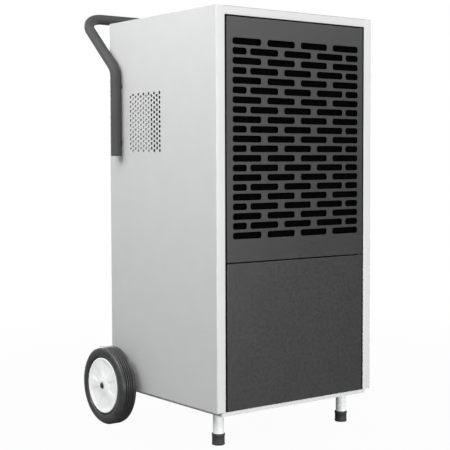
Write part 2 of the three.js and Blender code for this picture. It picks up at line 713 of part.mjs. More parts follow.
function liquidLine() {
  const { x, y, bottom, dryer } = LIQUID;
  return pipe([[-COIL.half - GAP, y, bottom], [x, y, bottom], [x, y, dryer - GAP]], [12], 4);
}

function filterDrier() {
  const { x, y, dryer, top } = LIQUID;
  return turned("z", [x, y, 0], [
    [0, dryer], [4, dryer], [11, dryer + 12], [11, top - 12], [4, top], [0, top],
  ], 16);
}

function capillaryTube() {
  const { x, y, top, high } = LIQUID;
  const inlet = EVAPORATOR_Y + COIL.depth / 2;
  return pipe([
    [x, y, top + GAP], [x, y, high], [x, inlet, high], [-COIL.half - GAP, inlet, high],
  ], [12], 2);
}

addPart("compressor", compressor(), BLACK_PAINT);
for (const index of [0, 1, 2]) addPart(`compressor_grommet_${index + 1}`, grommet(index), RUBBER);
addPart("accumulator", accumulator(), BLACK_PAINT);
addPart("discharge_line", dischargeLine(), COPPER);
addPart("suction_line", suctionLine(), COPPER);
addPart("liquid_line", liquidLine(), COPPER);
addPart("filter_drier", filterDrier(), COPPER);
addPart("capillary_tube", capillaryTube(), COPPER);

// ---------------------------------------------------------------- fan
/** A bulkhead with a round mouth, a ring behind it and four arms to the motor's seat. */
function fanShroud() {
  const half = HALF - SHEET - 2 * GAP;
  const { x, z, ring, plate, back } = FAN;
  const bulkhead = prism("y", plate, plate + 2,
    rectangle(-half, SHELF.z + SHEET + GAP, half, TOP - RAIL - 5));
  const mouth = rod("y", [x, 0, z], ring, plate - 5, plate + 10, 32);
  const seat = MOTOR.front - GAP;
  const wall = turned("y", [x, 0, z], [
    [ring, plate + 1], [ring + 2, plate + 1], [ring + 2, seat], [ring, seat], [ring, plate + 1],
  ], 32);
  const disc = turned("y", [x, 0, z], [
    [MOTOR.shaft + 4, back + 4], [MOTOR.radius, back + 4], [MOTOR.radius, seat], [MOTOR.shaft + 4, seat],
    [MOTOR.shaft + 4, back + 4],
  ], 16);
  const arms = [0, 1, 2, 3].map((i) =>
    box(MOTOR.radius - 5, ring + 1, back + 4, seat, -6, 6)
      .rotateY((i + 0.5) * Math.PI / 2)
      .translate(x, 0, z));
  return join(cut(bulkhead, mouth), wall, disc, ...arms);
}

/** A blade runs out along +X from the hub, and its pitch falls towards the tip. */
function fanBlade() {
  const root = FAN.hub - 4;
  const length = FAN.tip - root;
  const blade = new THREE.BoxGeometry(length, 2, 60, 3, 1, 2).translate(root + length / 2, 0, 0);
  const position = blade.attributes.position;
  const point = new THREE.Vector3();
  for (let i = 0; i < position.count; i++) {
    point.fromBufferAttribute(position, i);
    const out = (point.x - root) / length;
    point.z *= 0.6 + 0.5 * out;
    point.y += 3 * Math.cos((point.z / 66) * Math.PI);
    point.applyAxisAngle(X, THREE.MathUtils.degToRad(36 - 16 * out));
    position.setXYZ(i, point.x, point.y, point.z);
  }
  return blade;
}

function fanImpeller() {
  const { hub, front, back, blades } = FAN;
  const middle = (front + back) / 2;
  const bore = MOTOR.shaft + GAP;
  const boss = turned("y", [0, 0, 0], [
    [0, front - 2], [hub - 8, front - 2], [hub, front + 6], [hub, back], [bore, back],
    [bore, front + 4], [0, front + 4],
  ], 20);
  const set = Array.from({ length: blades }, (_, i) =>
    fanBlade().rotateY((i * 2 * Math.PI) / blades).translate(0, middle, 0));
  const bored = rod("y", [0, 0, 0], bore, front + 4, back + 10, 12);
  return cut(join(boss, ...set), bored);
}

function fanMotor() {
  const { radius, front, back, shaft } = MOTOR;
  return turned("y", [FAN.x, 0, FAN.z], [
    [0, FAN.front + 5], [shaft, FAN.front + 5], [shaft, front], [radius - 4, front], [radius, front + 5],
    [radius, back - 8], [radius - 12, back], [0, back],
  ], 20);
}

addPart("fan_shroud", fanShroud(), GALVANISED);
addPart("fan_impeller", fanImpeller(), BLACK_PLASTIC, [FAN.x, 0, FAN.z]);
addPart("fan_motor", fanMotor(), BLACK_PAINT);

// ---------------------------------------------------------------- electrics and controls
/** A folded box, open towards the middle of the cabinet. */
function electricalBox() {
  const { outer, inner, front, bottom, top } = BOX;
  const back = DEPTH - SHEET - GAP;
  const shell = box(-outer, -inner, front, back, bottom, top);
  return cut(shell, box(SHEET - outer, 10 - inner, front + SHEET, back - SHEET, bottom + SHEET, top - SHEET));
}

function controlPanel() {
  const { half, front, back, top, plate, skirt } = BEZEL;
  const face = box(-half, half, front, back, top - plate, top);
  const reach = 10;
  const wall = 2.5;
  const sleeve = cut(
    box(-half + reach, half - reach, front + reach - 2, back - reach + 2, top - plate - skirt, top - 1),
    box(-half + reach + wall, half - reach - wall, front + reach - 2 + wall, back - reach + 2 - wall,
      top - plate - skirt - 5, top - plate),
  );
  const windowHole = box(-WINDOW.half - GAP, WINDOW.half + GAP, WINDOW.front - GAP, WINDOW.back + GAP,
    top - 10, top + 10);
  const buttonHoles = Object.values(BUTTON_X).map((x) =>
    rod("z", [x, BUTTON.y, 0], BUTTON.radius + 2 * GAP, top - 10, top + 10, 12));
  return cut(join(face, sleeve), windowHole, ...buttonHoles);
}

function pushButton(x) {
  const { radius, flange, proud } = BUTTON;
  const top = BEZEL.top + proud;
  const shoulder = BEZEL.top - BEZEL.plate - GAP;
  return turned("z", [x, BUTTON.y, 0], [
    [0, shoulder - 2], [flange, shoulder - 2], [flange, shoulder],
    [radius, shoulder], [radius, top], [0, top],
  ], 12);
}

const displayWindow = () =>
  box(-WINDOW.half, WINDOW.half, WINDOW.front, WINDOW.back, BEZEL.top - BEZEL.plate, BEZEL.top - GAP);

addPart("electrical_box", electricalBox(), GALVANISED);
addPart("control_panel", controlPanel(), BLACK_PLASTIC);
addPart("display_window", displayWindow(), CLEAR_DARK);
for (const [name, x] of Object.entries(BUTTON_X)) addPart(name, pushButton(x), WHITE_PLASTIC);

const dehumidifier = new THREE.Group();
dehumidifier.name = "dehumidifier";
dehumidifier.add(cabinet);

export default dehumidifier;
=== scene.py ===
"""Looks of the dehumidifier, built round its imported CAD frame.

Shapes are drawn in millimetres in the cabinet's own frame: x from the middle, y from the front face
backwards, z from the floor. A piece's mesh is turned into the row's metres when it is made.
"""

import json
import math

import bmesh
import bpy
from mathutils import Matrix, Vector
from mathutils.geometry import tessellate_polygon


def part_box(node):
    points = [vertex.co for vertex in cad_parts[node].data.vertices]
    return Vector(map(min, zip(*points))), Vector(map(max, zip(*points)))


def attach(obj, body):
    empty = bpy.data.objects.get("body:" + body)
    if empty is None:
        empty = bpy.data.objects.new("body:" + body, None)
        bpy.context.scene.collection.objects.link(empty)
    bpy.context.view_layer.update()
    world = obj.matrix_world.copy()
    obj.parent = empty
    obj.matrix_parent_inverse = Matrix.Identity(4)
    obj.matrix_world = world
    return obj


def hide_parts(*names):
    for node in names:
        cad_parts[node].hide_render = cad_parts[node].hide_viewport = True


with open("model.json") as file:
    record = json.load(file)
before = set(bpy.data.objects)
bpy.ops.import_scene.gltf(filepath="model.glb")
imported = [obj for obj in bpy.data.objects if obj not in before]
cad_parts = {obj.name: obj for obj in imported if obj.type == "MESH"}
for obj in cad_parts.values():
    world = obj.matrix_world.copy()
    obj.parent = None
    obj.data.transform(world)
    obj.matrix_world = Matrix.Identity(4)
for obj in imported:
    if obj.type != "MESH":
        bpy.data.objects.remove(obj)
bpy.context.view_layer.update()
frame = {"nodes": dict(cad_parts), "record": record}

MM = 0.001
FRONT_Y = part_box("left_side_panel")[0].y
TO_ROW = Matrix.Translation((0, FRONT_Y, 0)) @ Matrix.Scale(MM, 4)


def cad(node):
    """A CAD node's lowest and highest corner, in mm in the cabinet's frame."""
    return [(corner - Vector((0, FRONT_Y, 0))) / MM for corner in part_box(node)]


# ---- sizes in mm, from the frame where it has them
PANEL_LO, PANEL_HI = cad("left_side_panel")
DOOR_LO, DOOR_HI = cad("grille_door")
SEAM = (DOOR_LO.z + cad("tank_front")[1].z) / 2
HALF = -PANEL_LO.x
DEPTH = PANEL_HI.y
BASE = PANEL_LO.z
TOP = cad("top_panel")[1].z
OPENING = -PANEL_HI.x
RAIL_BOTTOM = cad("top_panel")[0].z
SHEET = 1.5
FOLD = 3.0
LIP = 30.0
GAP = 0.3
# The front panels are drawn this much narrower at each side, and further into the seam between them.
SHADOW_GAP = 1.2
SEAM_LAP = 1.2

SLOT_LONG = 83.5
SLOT_SHORT = 41.0
SLOT_HEIGHT = 15.5
SLOT_CORNER = 6.2
SLOT_PITCH_X = 101.5
SLOT_PITCH_Z = 22.05
GRILLE_ROWS = 21
GRILLE_TOP = BASE + 842.5
GRILLE_HALF = 194.0

VENT_COLUMNS = 12
VENT_ROWS = 13
VENT_PITCH_Y = 11.7
VENT_PITCH_Z = 11.5
VENT_Y = 227.0
VENT_Z = BASE + 598.0
VENT_RADIUS = 3.5

WHEEL_LO, WHEEL_HI = cad("left_tyre")
WHEEL_RADIUS = (WHEEL_HI.z - WHEEL_LO.z) / 2
WHEEL_WIDTH = WHEEL_HI.x - WHEEL_LO.x
WHEEL_INNER = -WHEEL_HI.x
WHEEL_Y = (WHEEL_LO.y + WHEEL_HI.y) / 2
WHEEL_Z = WHEEL_RADIUS
WHEEL_AXIS = (0, WHEEL_Y, WHEEL_Z)
RIM_RADIUS = 72.0
BEAD_RADIUS = 69.5

HANDLE_RADIUS = 13.0
HANDLE_X = cad("handle_tube")[1].x - HANDLE_RADIUS
HANDLE_Y = 400.4
HANDLE_BOTTOM = cad("handle_tube")[0].z
HANDLE_BEND_Z = BASE + 800.4
GRIP_Y = cad("handle_tube")[1].y - HANDLE_RADIUS
GRIP_Z = cad("handle_tube")[1].z - HANDLE_RADIUS
LOW_BEND = 43.6
GRIP_BEND = 57.7
HANDLE_BOLTS = (HANDLE_BOTTOM + 30, HANDLE_BEND_Z - 40)

# Places on the back panel, as (x, z).
GLAND = (-180, 140)
DRAIN = (150, 130)

FAN_X, FAN_Z = 30.0, 700.0
FAN_AXIS = (FAN_X, 0, FAN_Z)
COIL_HALF, COIL_DEPTH = 200.0, 50.0
COIL_LOW, COIL_HIGH = 442.3, 940.0
EVAPORATOR_Y, CONDENSER_Y = 87.0, 157.0
COMPRESSOR_X, COMPRESSOR_Y = 40.0, 365.0
COMPRESSOR_RADIUS, COMPRESSOR_TOP = 60.0, 330.0
ACCUMULATOR_X = -56.0
PIPE_LOW = 415.0
DRIER_X = -222.0

# ---- camera and lamps, in metres, degrees and watts
CAMERA_PLACE = (-1.7428, -2.3055, 0.6584)
CAMERA_YAW, CAMERA_PITCH, CAMERA_ROLL = 37.103, -3.221, -0.184
CAMERA_LENS = 89.9

# Each lamp's place, aim, size and power.
LAMPS = {
    "key": ((-2.4, -2.0, 0.9), (-0.2, 0.1, 0.4), (1.4, 1.2), 12),
    "front_right": ((2.2, -3.0, 2.6), (0, -0.2, 0.6), (2.0, 1.6), 64),
    "front": ((0.3, -4.0, 0.5), (0, -0.3, 0.3), (2.5, 0.9), 114),
    "left_above": ((-1.5, -0.3, 1.8), (-0.24, 0.1, 0.9), (1.5, 1.1), 33),
    "right": ((2.7, 0.9, 1.2), (0.24, 0, 0.5), (1.6, 1.6), 36),
    "behind": ((0.6, 3.4, 1.6), (0, 0.1, 0.6), (2.2, 1.6), 105),
    "left_behind": ((-1.75, 1.3, 2.0), (-0.24, 0.1, 0.9), (1.0, 1.0), 12),
}


# ---- outlines, as lists of (u, v)
def arc(u, v, radius, start, end, steps):
    angles = [math.radians(start + (end - start) * i / steps) for i in range(steps + 1)]
    return [(u + radius * math.cos(a), v + radius * math.sin(a)) for a in angles]


def circle(u, v, radius, sides=24):
    return arc(u, v, radius, 0, 360 - 360 / sides, sides - 1)


def quarter_round(radius, steps):
    """A soft edge as (inset, depth) stations, from a sheet's face down to its side."""
    angles = [math.pi / 2 * i / steps for i in range(steps + 1)]
    return [(radius * (1 - math.sin(a)), radius * (1 - math.cos(a))) for a in angles]


def rounded_rectangle(u0, v0, u1, v1, radius, steps=5):
    radius = max(radius, 0.05)
    corners = [(u1 - radius, v0 + radius, -90), (u1 - radius, v1 - radius, 0),
               (u0 + radius, v1 - radius, 90), (u0 + radius, v0 + radius, 180)]
    return [point for u, v, start in corners for point in arc(u, v, radius, start, start + 90, steps)]


def inset_rectangle(lo, hi, inset, radius, steps=5):
    """A rounded rectangle that lies an inset within two (u, v) corners."""
    return rounded_rectangle(lo[0] + inset, lo[1] + inset, hi[0] - inset, hi[1] - inset, radius, steps)


def slot_hole(u, v, width, height, radius):
    """A hole as a function of how much larger than its size its outline is drawn."""
    return lambda grow: rounded_rectangle(
        u - width / 2 - grow, v - height / 2 - grow, u + width / 2 + grow, v + height / 2 + grow,
        radius + grow)


def round_hole(u, v, radius, sides=20):
    return lambda grow: circle(u, v, radius + grow, sides)


def inner_line(line, thickness):
    """The line that runs a sheet's thickness to the right of another."""
    points = [Vector(point) for point in line]
    inner = []
    for i, point in enumerate(points):
        into = (point - points[i - 1]).normalized() if i else (points[1] - point).normalized()
        out = (points[i + 1] - point).normalized() if i + 1 < len(points) else into
        side = Vector((into.y + out.y, -into.x - out.x)).normalized()
        reach = thickness / (side.x * into.y - side.y * into.x)
        inner.append(tuple(point + side * reach))
    return inner


# ---- meshes
def facing_front(u, v, depth):
    return u, depth, v


def facing_back(u, v, depth):
    return u, DEPTH - depth, v


def facing_side(side):
    """(y, z) drawings on the cabinet's side wall, with depth into the cabinet."""
    return lambda u, v, depth: (side * (HALF - depth), u, v)


def facing_up(height):
    return lambda u, v, depth: (u, v, height - depth)


def at_height(u, v, z):
    return u, v, z


class Shape:
    """A mesh in the making, in mm in the cabinet's frame."""

    def __init__(self):
        self.mesh = bmesh.new()

    def loop(self, points):
        return [self.mesh.verts.new(point) for point in points]

    def skin(self, *verts):
        """A face of a curved surface. Faces made otherwise are shaded flat."""
        self.mesh.faces.new(verts).smooth = True

    def bridge(self, first, second, closed=True):
        count = len(first)
        for i in range(count if closed else count - 1):
            j = (i + 1) % count
            self.skin(first[i], first[j], second[j], second[i])

    def loops(self, rings, closed=True, wrap=False):
        """Skins between one ring of points and the next. With wrap the last meets the first."""
        rows = [self.loop(ring) for ring in rings]
        for a, b in zip(rows, rows[1:] + (rows[:1] if wrap else [])):
            self.bridge(a, b, closed)
        return rows

    def stack(self, at, rings, wrap=False):
        """Skins through a list of (outline, depth)."""
        return self.loops([[at(u, v, depth) for u, v in outline] for outline, depth in rings], wrap=wrap)

    def fill(self, border, holes=()):
        """Flat triangles between a border and the holes in it, all loops of vertices."""
        rings = [border, *holes]
        verts = [vert for ring in rings for vert in ring]
        for triangle in tessellate_polygon([[vert.co for vert in ring] for ring in rings]):
            self.mesh.faces.new([verts[i] for i in triangle]).smooth = False

    def plate(self, at, outline, holes, thickness, lip=0.5, steps=2, undercut=0.0):
        """A flat sheet with soft-edged holes, wider behind by the undercut.

        Returns its front and back borders.
        """
        rims = [*quarter_round(lip, steps), (undercut, thickness)]
        fronts, backs = [], []
        for hole in holes:
            rows = self.stack(at, [(hole(grow), depth) for grow, depth in rims])
            fronts.append(rows[0])
            backs.append(rows[-1])
        front = self.loop([at(u, v, 0) for u, v in outline])
        back = self.loop([at(u, v, thickness) for u, v in outline])
        self.fill(front, fronts)
        self.fill(back, backs)
        return front, back

    def pressing(self, at, rings, holes, thickness, **edges):
        """A plate whose border runs on round its folds, through a list of (outline, depth)."""
        front, back = self.plate(at, rings[0][0], holes, thickness, **edges)
        rows = self.stack(at, rings[1:])
        self.bridge(front, rows[0])
        self.bridge(rows[-1], back)

    def turn(self, axis, centre, profile, sides=48, closed=False):
        """A profile of (radius, height) turned round an axis through centre."""
        centre = Vector(centre)
        first = "xyz".index(axis)
        along, across, up = (Matrix.Identity(3)[(first + i) % 3] for i in range(3))
        rows = []
        for radius, height in profile:
            middle = centre + along * height
            if radius < 1e-6:
                rows.append([self.mesh.verts.new(middle)])
                continue
            rows.append(self.loop([middle + across * u + up * v for u, v in circle(0, 0, radius, sides)]))
        for a, b in zip(rows, rows[1:] + (rows[:1] if closed else [])):
            tip, ring = sorted((a, b), key=len)
            if len(tip) == len(ring) == sides:
                self.bridge(a, b)
            elif len(ring) == sides:
                for i in range(sides):
                    self.skin(tip[0], ring[i], ring[(i + 1) % sides])
        return self

    def tube(self, line, radius, sides=24, bore=None):
        """A round tube along (point, tangent) stations, solid with flat ends or hollow."""
        side = line[0][1].orthogonal().normalized()
        rings = []
        for point, tangent in line:
            side = (side - tangent * side.dot(tangent)).normalized()
            rings.append((point, side, tangent.cross(side)))
        skins = [[[p + (s * u + t * v) for u, v in circle(0, 0, r, sides)] for p, s, t in rings]
                 for r in ([radius, bore] if bore else [radius])]
        rows = [self.loops(skin) for skin in skins]
        for end in (0, -1):
            if bore:
                self.bridge(rows[0][end], rows[1][end])
            else:
                self.mesh.faces.new(rows[0][end])
        return self

    def block(self, lo, hi, radius=0.0, steps=2, at=Matrix()):
        """A box with rounded edges."""
        lo, hi = Vector(lo), Vector(hi)
        made = bmesh.ops.create_cube(self.mesh, size=1)["verts"]
        for vert in made:
            vert.co = at @ Vector(lo[i] + (vert.co[i] + 0.5) * (hi[i] - lo[i]) for i in range(3))
        if radius:
            edges = list({edge for vert in made for edge in vert.link_edges})
            bevel = bmesh.ops.bevel(self.mesh, geom=edges, offset=radius, segments=steps, profile=0.5,
                                    affect="EDGES", clamp_overlap=True)
            for face in bevel["faces"]:
                face.smooth = True
        return self

    def piece(self, name, look, node=None, body="chassis", sharp=35):
        """Makes the mesh an object that rides on a CAD body and may stand for a CAD node."""
        bmesh.ops.recalc_face_normals(self.mesh, faces=self.mesh.faces)
        for edge in self.mesh.edges:
            sides = [face.smooth for face in edge.link_faces]
            edge.smooth = sides in ([True] * 2, [False] * 2) and edge.calc_face_angle() < math.radians(sharp)
        for face in self.mesh.faces:
            face.smooth = True
        self.mesh.transform(TO_ROW)
        data = bpy.data.meshes.new(name)
        self.mesh.to_mesh(data)
        self.mesh.free()
        made = bpy.data.objects.new(name, data)
        bpy.context.scene.collection.objects.link(made)
        data.materials.append(look)
        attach(made, body)
        if node:
            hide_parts(node)


def bent_line(corners, bends, steps=10):
    """(point, tangent) stations along straight runs joined by arcs."""
    points = [Vector(corner) for corner in corners]
    stations = [(points[0], (points[1] - points[0]).normalized())]
    for before, corner, after, radius in zip(points, points[1:], points[2:], bends):
        into = (corner - before).normalized()
        out = (after - corner).normalized()
        turn = into.angle(out)
        start = corner - into * radius * math.tan(turn / 2)
        inward = (out - into * out.dot(into)).normalized()
        for i in range(steps + 1):
            angle = turn * i / steps
            point = start + into * radius * math.sin(angle) + inward * radius * (1 - math.cos(angle))
            stations.append((point, into * math.cos(angle) + inward * math.sin(angle)))
    stations.append((points[-1], (points[-1] - points[-2]).normalized()))
    return stations


# ---- materials
def grey(value):
    """A linear grey from its 0 to 255 screen value."""
    share = value / 255
    linear = share / 12.92 if share <= 0.04045 else ((share + 0.055) / 1.055) ** 2.4
    return (linear, linear, linear)


def scaled(tone, share):
    return tuple(level * share for level in tone)


class Look:
    """A node-based material. Noise sizes are in mm."""

    def __init__(self, name, roughness, metallic=0.0, **sockets):
        self.material = bpy.data.materials.new(name)
        self.material.use_nodes = True
        self.tree = self.material.node_tree
        self.shader = self.tree.nodes["Principled BSDF"]
        self.shader.inputs["Roughness"].default_value = roughness
        self.shader.inputs["Metallic"].default_value = metallic
        for socket, value in sockets.items():
            self.shader.inputs[socket.replace("_", " ")].default_value = value
        self.place = self.node("ShaderNodeTexCoord").outputs["Object"]
        self.height = None

    def node(self, kind, **inputs):
        made = self.tree.nodes.new(kind)
        for name, value in inputs.items():
            socket = made.inputs[name.replace("_", " ")]
            if hasattr(value, "is_output"):
                self.tree.links.new(value, socket)
            else:
                socket.default_value = value
        return made

    def noise(self, size, detail=3.0, stretch=(1, 1, 1)):
        mapping = self.node("ShaderNodeMapping", Vector=self.place, Scale=stretch)
        made = self.node("ShaderNodeTexNoise", Vector=mapping.outputs["Vector"], Scale=1 / (size * MM),
                         Detail=detail)
        return made.outputs["Fac"]

    def ramp(self, source, low, high, start=0.35, end=0.65):
        """Colours or levels from low to high as the source runs from start to end."""
        made = self.node("ShaderNodeValToRGB", Fac=source)
        for stop, place, value in zip(made.color_ramp.elements, (start, end), (low, high)):
            stop.position = place
            stop.color = (*value, 1) if isinstance(value, tuple) else (value, value, value, 1)
        return made.outputs["Color"]

    def colour(self, source):
        self.tree.links.new(source, self.shader.inputs["Base Color"])
        return self

    def rough(self, source):
        self.tree.links.new(source, self.shader.inputs["Roughness"])
        return self

    def bump(self, source, depth):
        """Adds relief, with its depth in mm."""
        made = self.node("ShaderNodeBump", Height=source, Distance=depth * MM)
        if self.height:
            self.tree.links.new(self.height, made.inputs["Normal"])
        self.height = made.outputs["Normal"]
        self.tree.links.new(self.height, self.shader.inputs["Normal"])
        return self


def powder_coat(name, tone, spread=0.05, roughness=0.42, grain=1.1, depth=0.02, shine=0.45):
    """Sprayed and baked paint: an orange-peel skin, slightly uneven tone and gloss."""
    look = Look(name, roughness, Specular_IOR_Level=shine)
    look.colour(look.ramp(look.noise(60, 4), scaled(tone, 1 - spread), scaled(tone, 1 + spread)))
    look.rough(look.ramp(look.noise(9, 5), roughness - 0.05, roughness + 0.06))
    look.bump(look.noise(grain, 2), depth)
    look.bump(look.noise(0.35, 1), depth * 0.4)
    return look.material


def moulded_plastic(name, tone, roughness=0.4, grain=0.5, depth=0.012, **sockets):
    """Injection-moulded plastic: fine spark-eroded grain and faint flow marks."""
    look = Look(name, roughness, Specular_IOR_Level=0.5, **sockets)
    look.colour(look.ramp(look.noise(25, 3), scaled(tone, 0.94), tone))
    look.rough(look.ramp(look.noise(6, 4), roughness - 0.04, roughness + 0.08))
    look.bump(look.noise(grain, 2), depth)
    return look.material


def rubber(name, tone, roughness=0.7, shine=0.4):
    look = Look(name, roughness, Specular_IOR_Level=shine)
    look.colour(look.ramp(look.noise(14, 5), scaled(tone, 0.75), scaled(tone, 1.25)))
    look.rough(look.ramp(look.noise(4, 5), roughness - 0.12, roughness + 0.08))
    look.bump(look.noise(0.8, 4), 0.02)
    return look.material


def plated_steel(name, tone, roughness=0.3, stretch=(1, 1, 0.05), metallic=1.0):
    """Bright zinc plate with faint drawing lines."""
    look = Look(name, roughness, metallic)
    look.colour(look.ramp(look.noise(12, 4), scaled(tone, 0.9), tone))
    look.rough(look.ramp(look.noise(1.2, 4, stretch), roughness - 0.08, roughness + 0.12))
    look.bump(look.noise(0.6, 3, stretch), 0.006)
    return look.material


def galvanised(name):
    """Zinc-dipped sheet: flat crystals of slightly different brightness."""
    look = Look(name, 0.45, 0.9)
    mapping = look.node("ShaderNodeMapping", Vector=look.place)
    crystals = look.node("ShaderNodeTexVoronoi", Vector=mapping.outputs["Vector"], Scale=1 / (9 * MM))
    look.colour(look.ramp(crystals.outputs["Color"], grey(182), grey(212), 0.2, 0.8))
    look.rough(look.ramp(crystals.outputs["Color"], 0.36, 0.58, 0.1, 0.9))
    look.bump(look.noise(2, 3), 0.02)
    return look.material


def copper():
    look = Look("copper", 0.32, 1.0)
    look.colour(look.ramp(look.noise(18, 6), (0.42, 0.16, 0.07), (0.72, 0.33, 0.17)))
    look.rough(look.ramp(look.noise(5, 5), 0.25, 0.48))
    look.bump(look.noise(1.5, 3), 0.02)
    return look.material


def smoked_window():
    look = Look("smoked_window", 0.08, Coat_Weight=0.6, Coat_Roughness=0.05)
    look.colour(look.ramp(look.noise(30, 2), (0.006, 0.007, 0.009), (0.01, 0.012, 0.014)))
    look.bump(look.noise(40, 2), 0.02)
    return look.material


def glow(name, tone, strength):
    look = Look(name, 0.4)
    look.colour(look.ramp(look.noise(3, 2), scaled(tone, 0.8), tone))
    look.shader.inputs["Emission Color"].default_value = (*tone, 1)
    look.shader.inputs["Emission Strength"].default_value = strength
    return look.material


WHITE_PAINT = powder_coat("white_paint", grey(189), spread=0.012, roughness=0.4)
ANTHRACITE = powder_coat("anthracite_paint", (0.0215, 0.0215, 0.0215), spread=0.05, roughness=0.38)
HANDLE_PAINT = powder_coat("handle_paint", (0.064, 0.064, 0.064), roughness=0.6, grain=0.8, shine=0.2)
BLACK_PAINT = powder_coat("black_enamel", (0.012, 0.012, 0.013), spread=0.2, roughness=0.35)
FOOT_RUBBER = rubber("foot_rubber", (0.031, 0.031, 0.031))
TYRE_RUBBER = rubber("tyre_rubber", (0.038, 0.038, 0.038), 0.38, shine=0.55)
WHITE_PLASTIC = moulded_plastic("white_plastic", grey(249), 0.35, grain=1.2)
BLACK_PLASTIC = moulded_plastic("black_plastic", (0.014, 0.015, 0.016), 0.45)
TANK_PLASTIC = moulded_plastic("tank_plastic", (0.47, 0.5, 0.52), 0.35, Transmission_Weight=0.25)
BRIGHT_STEEL = plated_steel("bright_steel", (0.93, 0.935, 0.94), 0.28, metallic=0.12)
FIN_ALUMINIUM = plated_steel("fin_aluminium", (0.66, 0.67, 0.69), 0.5, (1, 1, 0.02), metallic=0.4)
GALVANISED = galvanised("galvanised_steel")
COPPER = copper()
# Black of the filter's foam; the same black stands as painted shade in the gaps round the door and behind the
# vent.
FOAM_AND_SHADE_BLACK = rubber("foam_and_shade_black", (0.002, 0.002, 0.002), 0.95, shine=0.0)
WINDOW = smoked_window()
DIGITS = glow("display_digits", (0.25, 0.85, 0.75), 0.8)
MARKS = moulded_plastic("button_marks", (0.09, 0.09, 0.1), 0.5)

SLOT_LOOKS = {
    "white_paint": [WHITE_PAINT], "anthracite_paint": [ANTHRACITE], "handle_paint": [HANDLE_PAINT],
    "bright_steel": [BRIGHT_STEEL], "galvanised_steel": [GALVANISED], "fin_aluminium": [FIN_ALUMINIUM],
    "copper": [COPPER], "black_paint": [BLACK_PAINT], "foot_rubber": [FOOT_RUBBER],
    "tyre_rubber": [TYRE_RUBBER], "white_plastic": [WHITE_PLASTIC],
    "black_plastic": [BLACK_PLASTIC, FOAM_AND_SHADE_BLACK, MARKS], "display_plastic": [WINDOW, DIGITS],
    "tank_plastic": [TANK_PLASTIC],
}


def paint_nodes():
    """Gives every CAD node its record slot's material; the bracket in the seam gets black paint instead, as
    painted shade of the seam.
    """
    for entry in frame["record"]["subparts"]:
        node = frame["nodes"][entry["node"]]
        look = SLOT_LOOKS[entry["material_slot"]][0]
        node.data.materials.clear()
        # The lower hinge bracket is painted black as painted shade: it sits in the seam's shade.
        node.data.materials.append(BLACK_PAINT if entry["node"] == "lower_hinge_bracket" else look)


# ---- cabinet
def vent_holes():
    holes = []
    for column in range(VENT_COLUMNS):
        offset = column % 2
        for row in range(VENT_ROWS - offset):
            y = VENT_Y + column * VENT_PITCH_Y
            z = VENT_Z + (row + offset / 2) * VENT_PITCH_Z
            holes.append(round_hole(y, z, VENT_RADIUS if column > 3 else VENT_RADIUS + 0.4, 16))
    return holes


def side_panel(name, side, holes):
    """A side wall folded round the front into a stile with an inner return, and round the back."""
    top = TOP - SHEET - 0.1
    notch = 7.5
    line = [(-OPENING, LIP), *arc(-OPENING - 2, 2, 2, 0, -90, 4), *arc(FOLD - HALF, FOLD, FOLD, -90, -180, 8),
            *arc(FOLD - HALF, DEPTH - FOLD, FOLD, 180, 90, 8), (-OPENING, DEPTH)]
    wall = next(i for i, (a, b) in enumerate(zip(line, line[1:])) if b[1] - a[1] > DEPTH / 2)
    inner = inner_line(line, SHEET)
    shape = Shape()
    for start, end in ((0, wall + 1), (wall + 1, len(line))):
        rings = [[(-side * x, y, z) for x, y in skin[start:end]]
                 for skin, z in ((line, BASE), (line, top), (inner, top), (inner, BASE))]
        shape.loops(rings, closed=False, wrap=True)
    outline = [(FOLD, BASE), (WHEEL_Y - notch, BASE), *arc(WHEEL_Y, WHEEL_Z, notch, 180, 0, 8),
               (WHEEL_Y + notch, BASE), (DEPTH - FOLD, BASE), (DEPTH - FOLD, top), (FOLD, top)]
    holes = [*holes, *(round_hole(HANDLE_Y, z, 3.4, 12) for z in HANDLE_BOLTS)]
    shape.bridge(*shape.plate(facing_side(side), outline, holes, SHEET, lip=0.2, undercut=1.1))
    bmesh.ops.remove_doubles(shape.mesh, verts=shape.mesh.verts, dist=0.01)
    shape.piece(f"{name}_wall", WHITE_PAINT, f"{name}_side_panel")


def top_panel():
    """The deck with its softly folded front rail and the cut-out under the control panel."""
    shape = Shape()
    end = OPENING + 2
    rail = [(18, RAIL_BOTTOM), *arc(2, RAIL_BOTTOM + 2, 2, 270, 180, 4), (0, TOP - 1)]
    inside = inner_line(rail, SHEET)
    shape.loops([[(x, y, z) for y, z in skin] for skin, x in
                 ((rail, -end), (rail, end), (inside, end), (inside, -end))], closed=False, wrap=True)
    edges = [(inset_rectangle((-HALF, 0), (HALF, DEPTH), inset, FOLD - inset * 0.6), drop)
             for inset, drop in quarter_round(1.0, 3)]
    window = [slot_hole(0, 80, 184, 68, 3)]
    shape.pressing(facing_up(TOP), [*edges, (edges[-1][0], SHEET)], window, SHEET, lip=0.4)
    shape.piece("top_cover", WHITE_PAINT, "top_panel")


def outlet_holes():
    """Two columns of slots behind the fan."""
    return [slot_hole(FAN_X + column * 150, FAN_Z + (row - 5.5) * 22, 130, 10, 4.9)
            for row in range(12) for column in (-0.5, 0.5)]


def rear_panel():
    shape = Shape()
    inner = OPENING - GAP
    outline = rounded_rectangle(-inner, BASE, inner, TOP - SHEET - GAP, 1)
    fittings = [round_hole(*GLAND, 8.3), round_hole(*DRAIN, 7.3)]
    shape.bridge(*shape.plate(facing_back, outline, [*outlet_holes(), *fittings], SHEET))
    shape.piece("back_cover", WHITE_PAINT, "rear_panel")


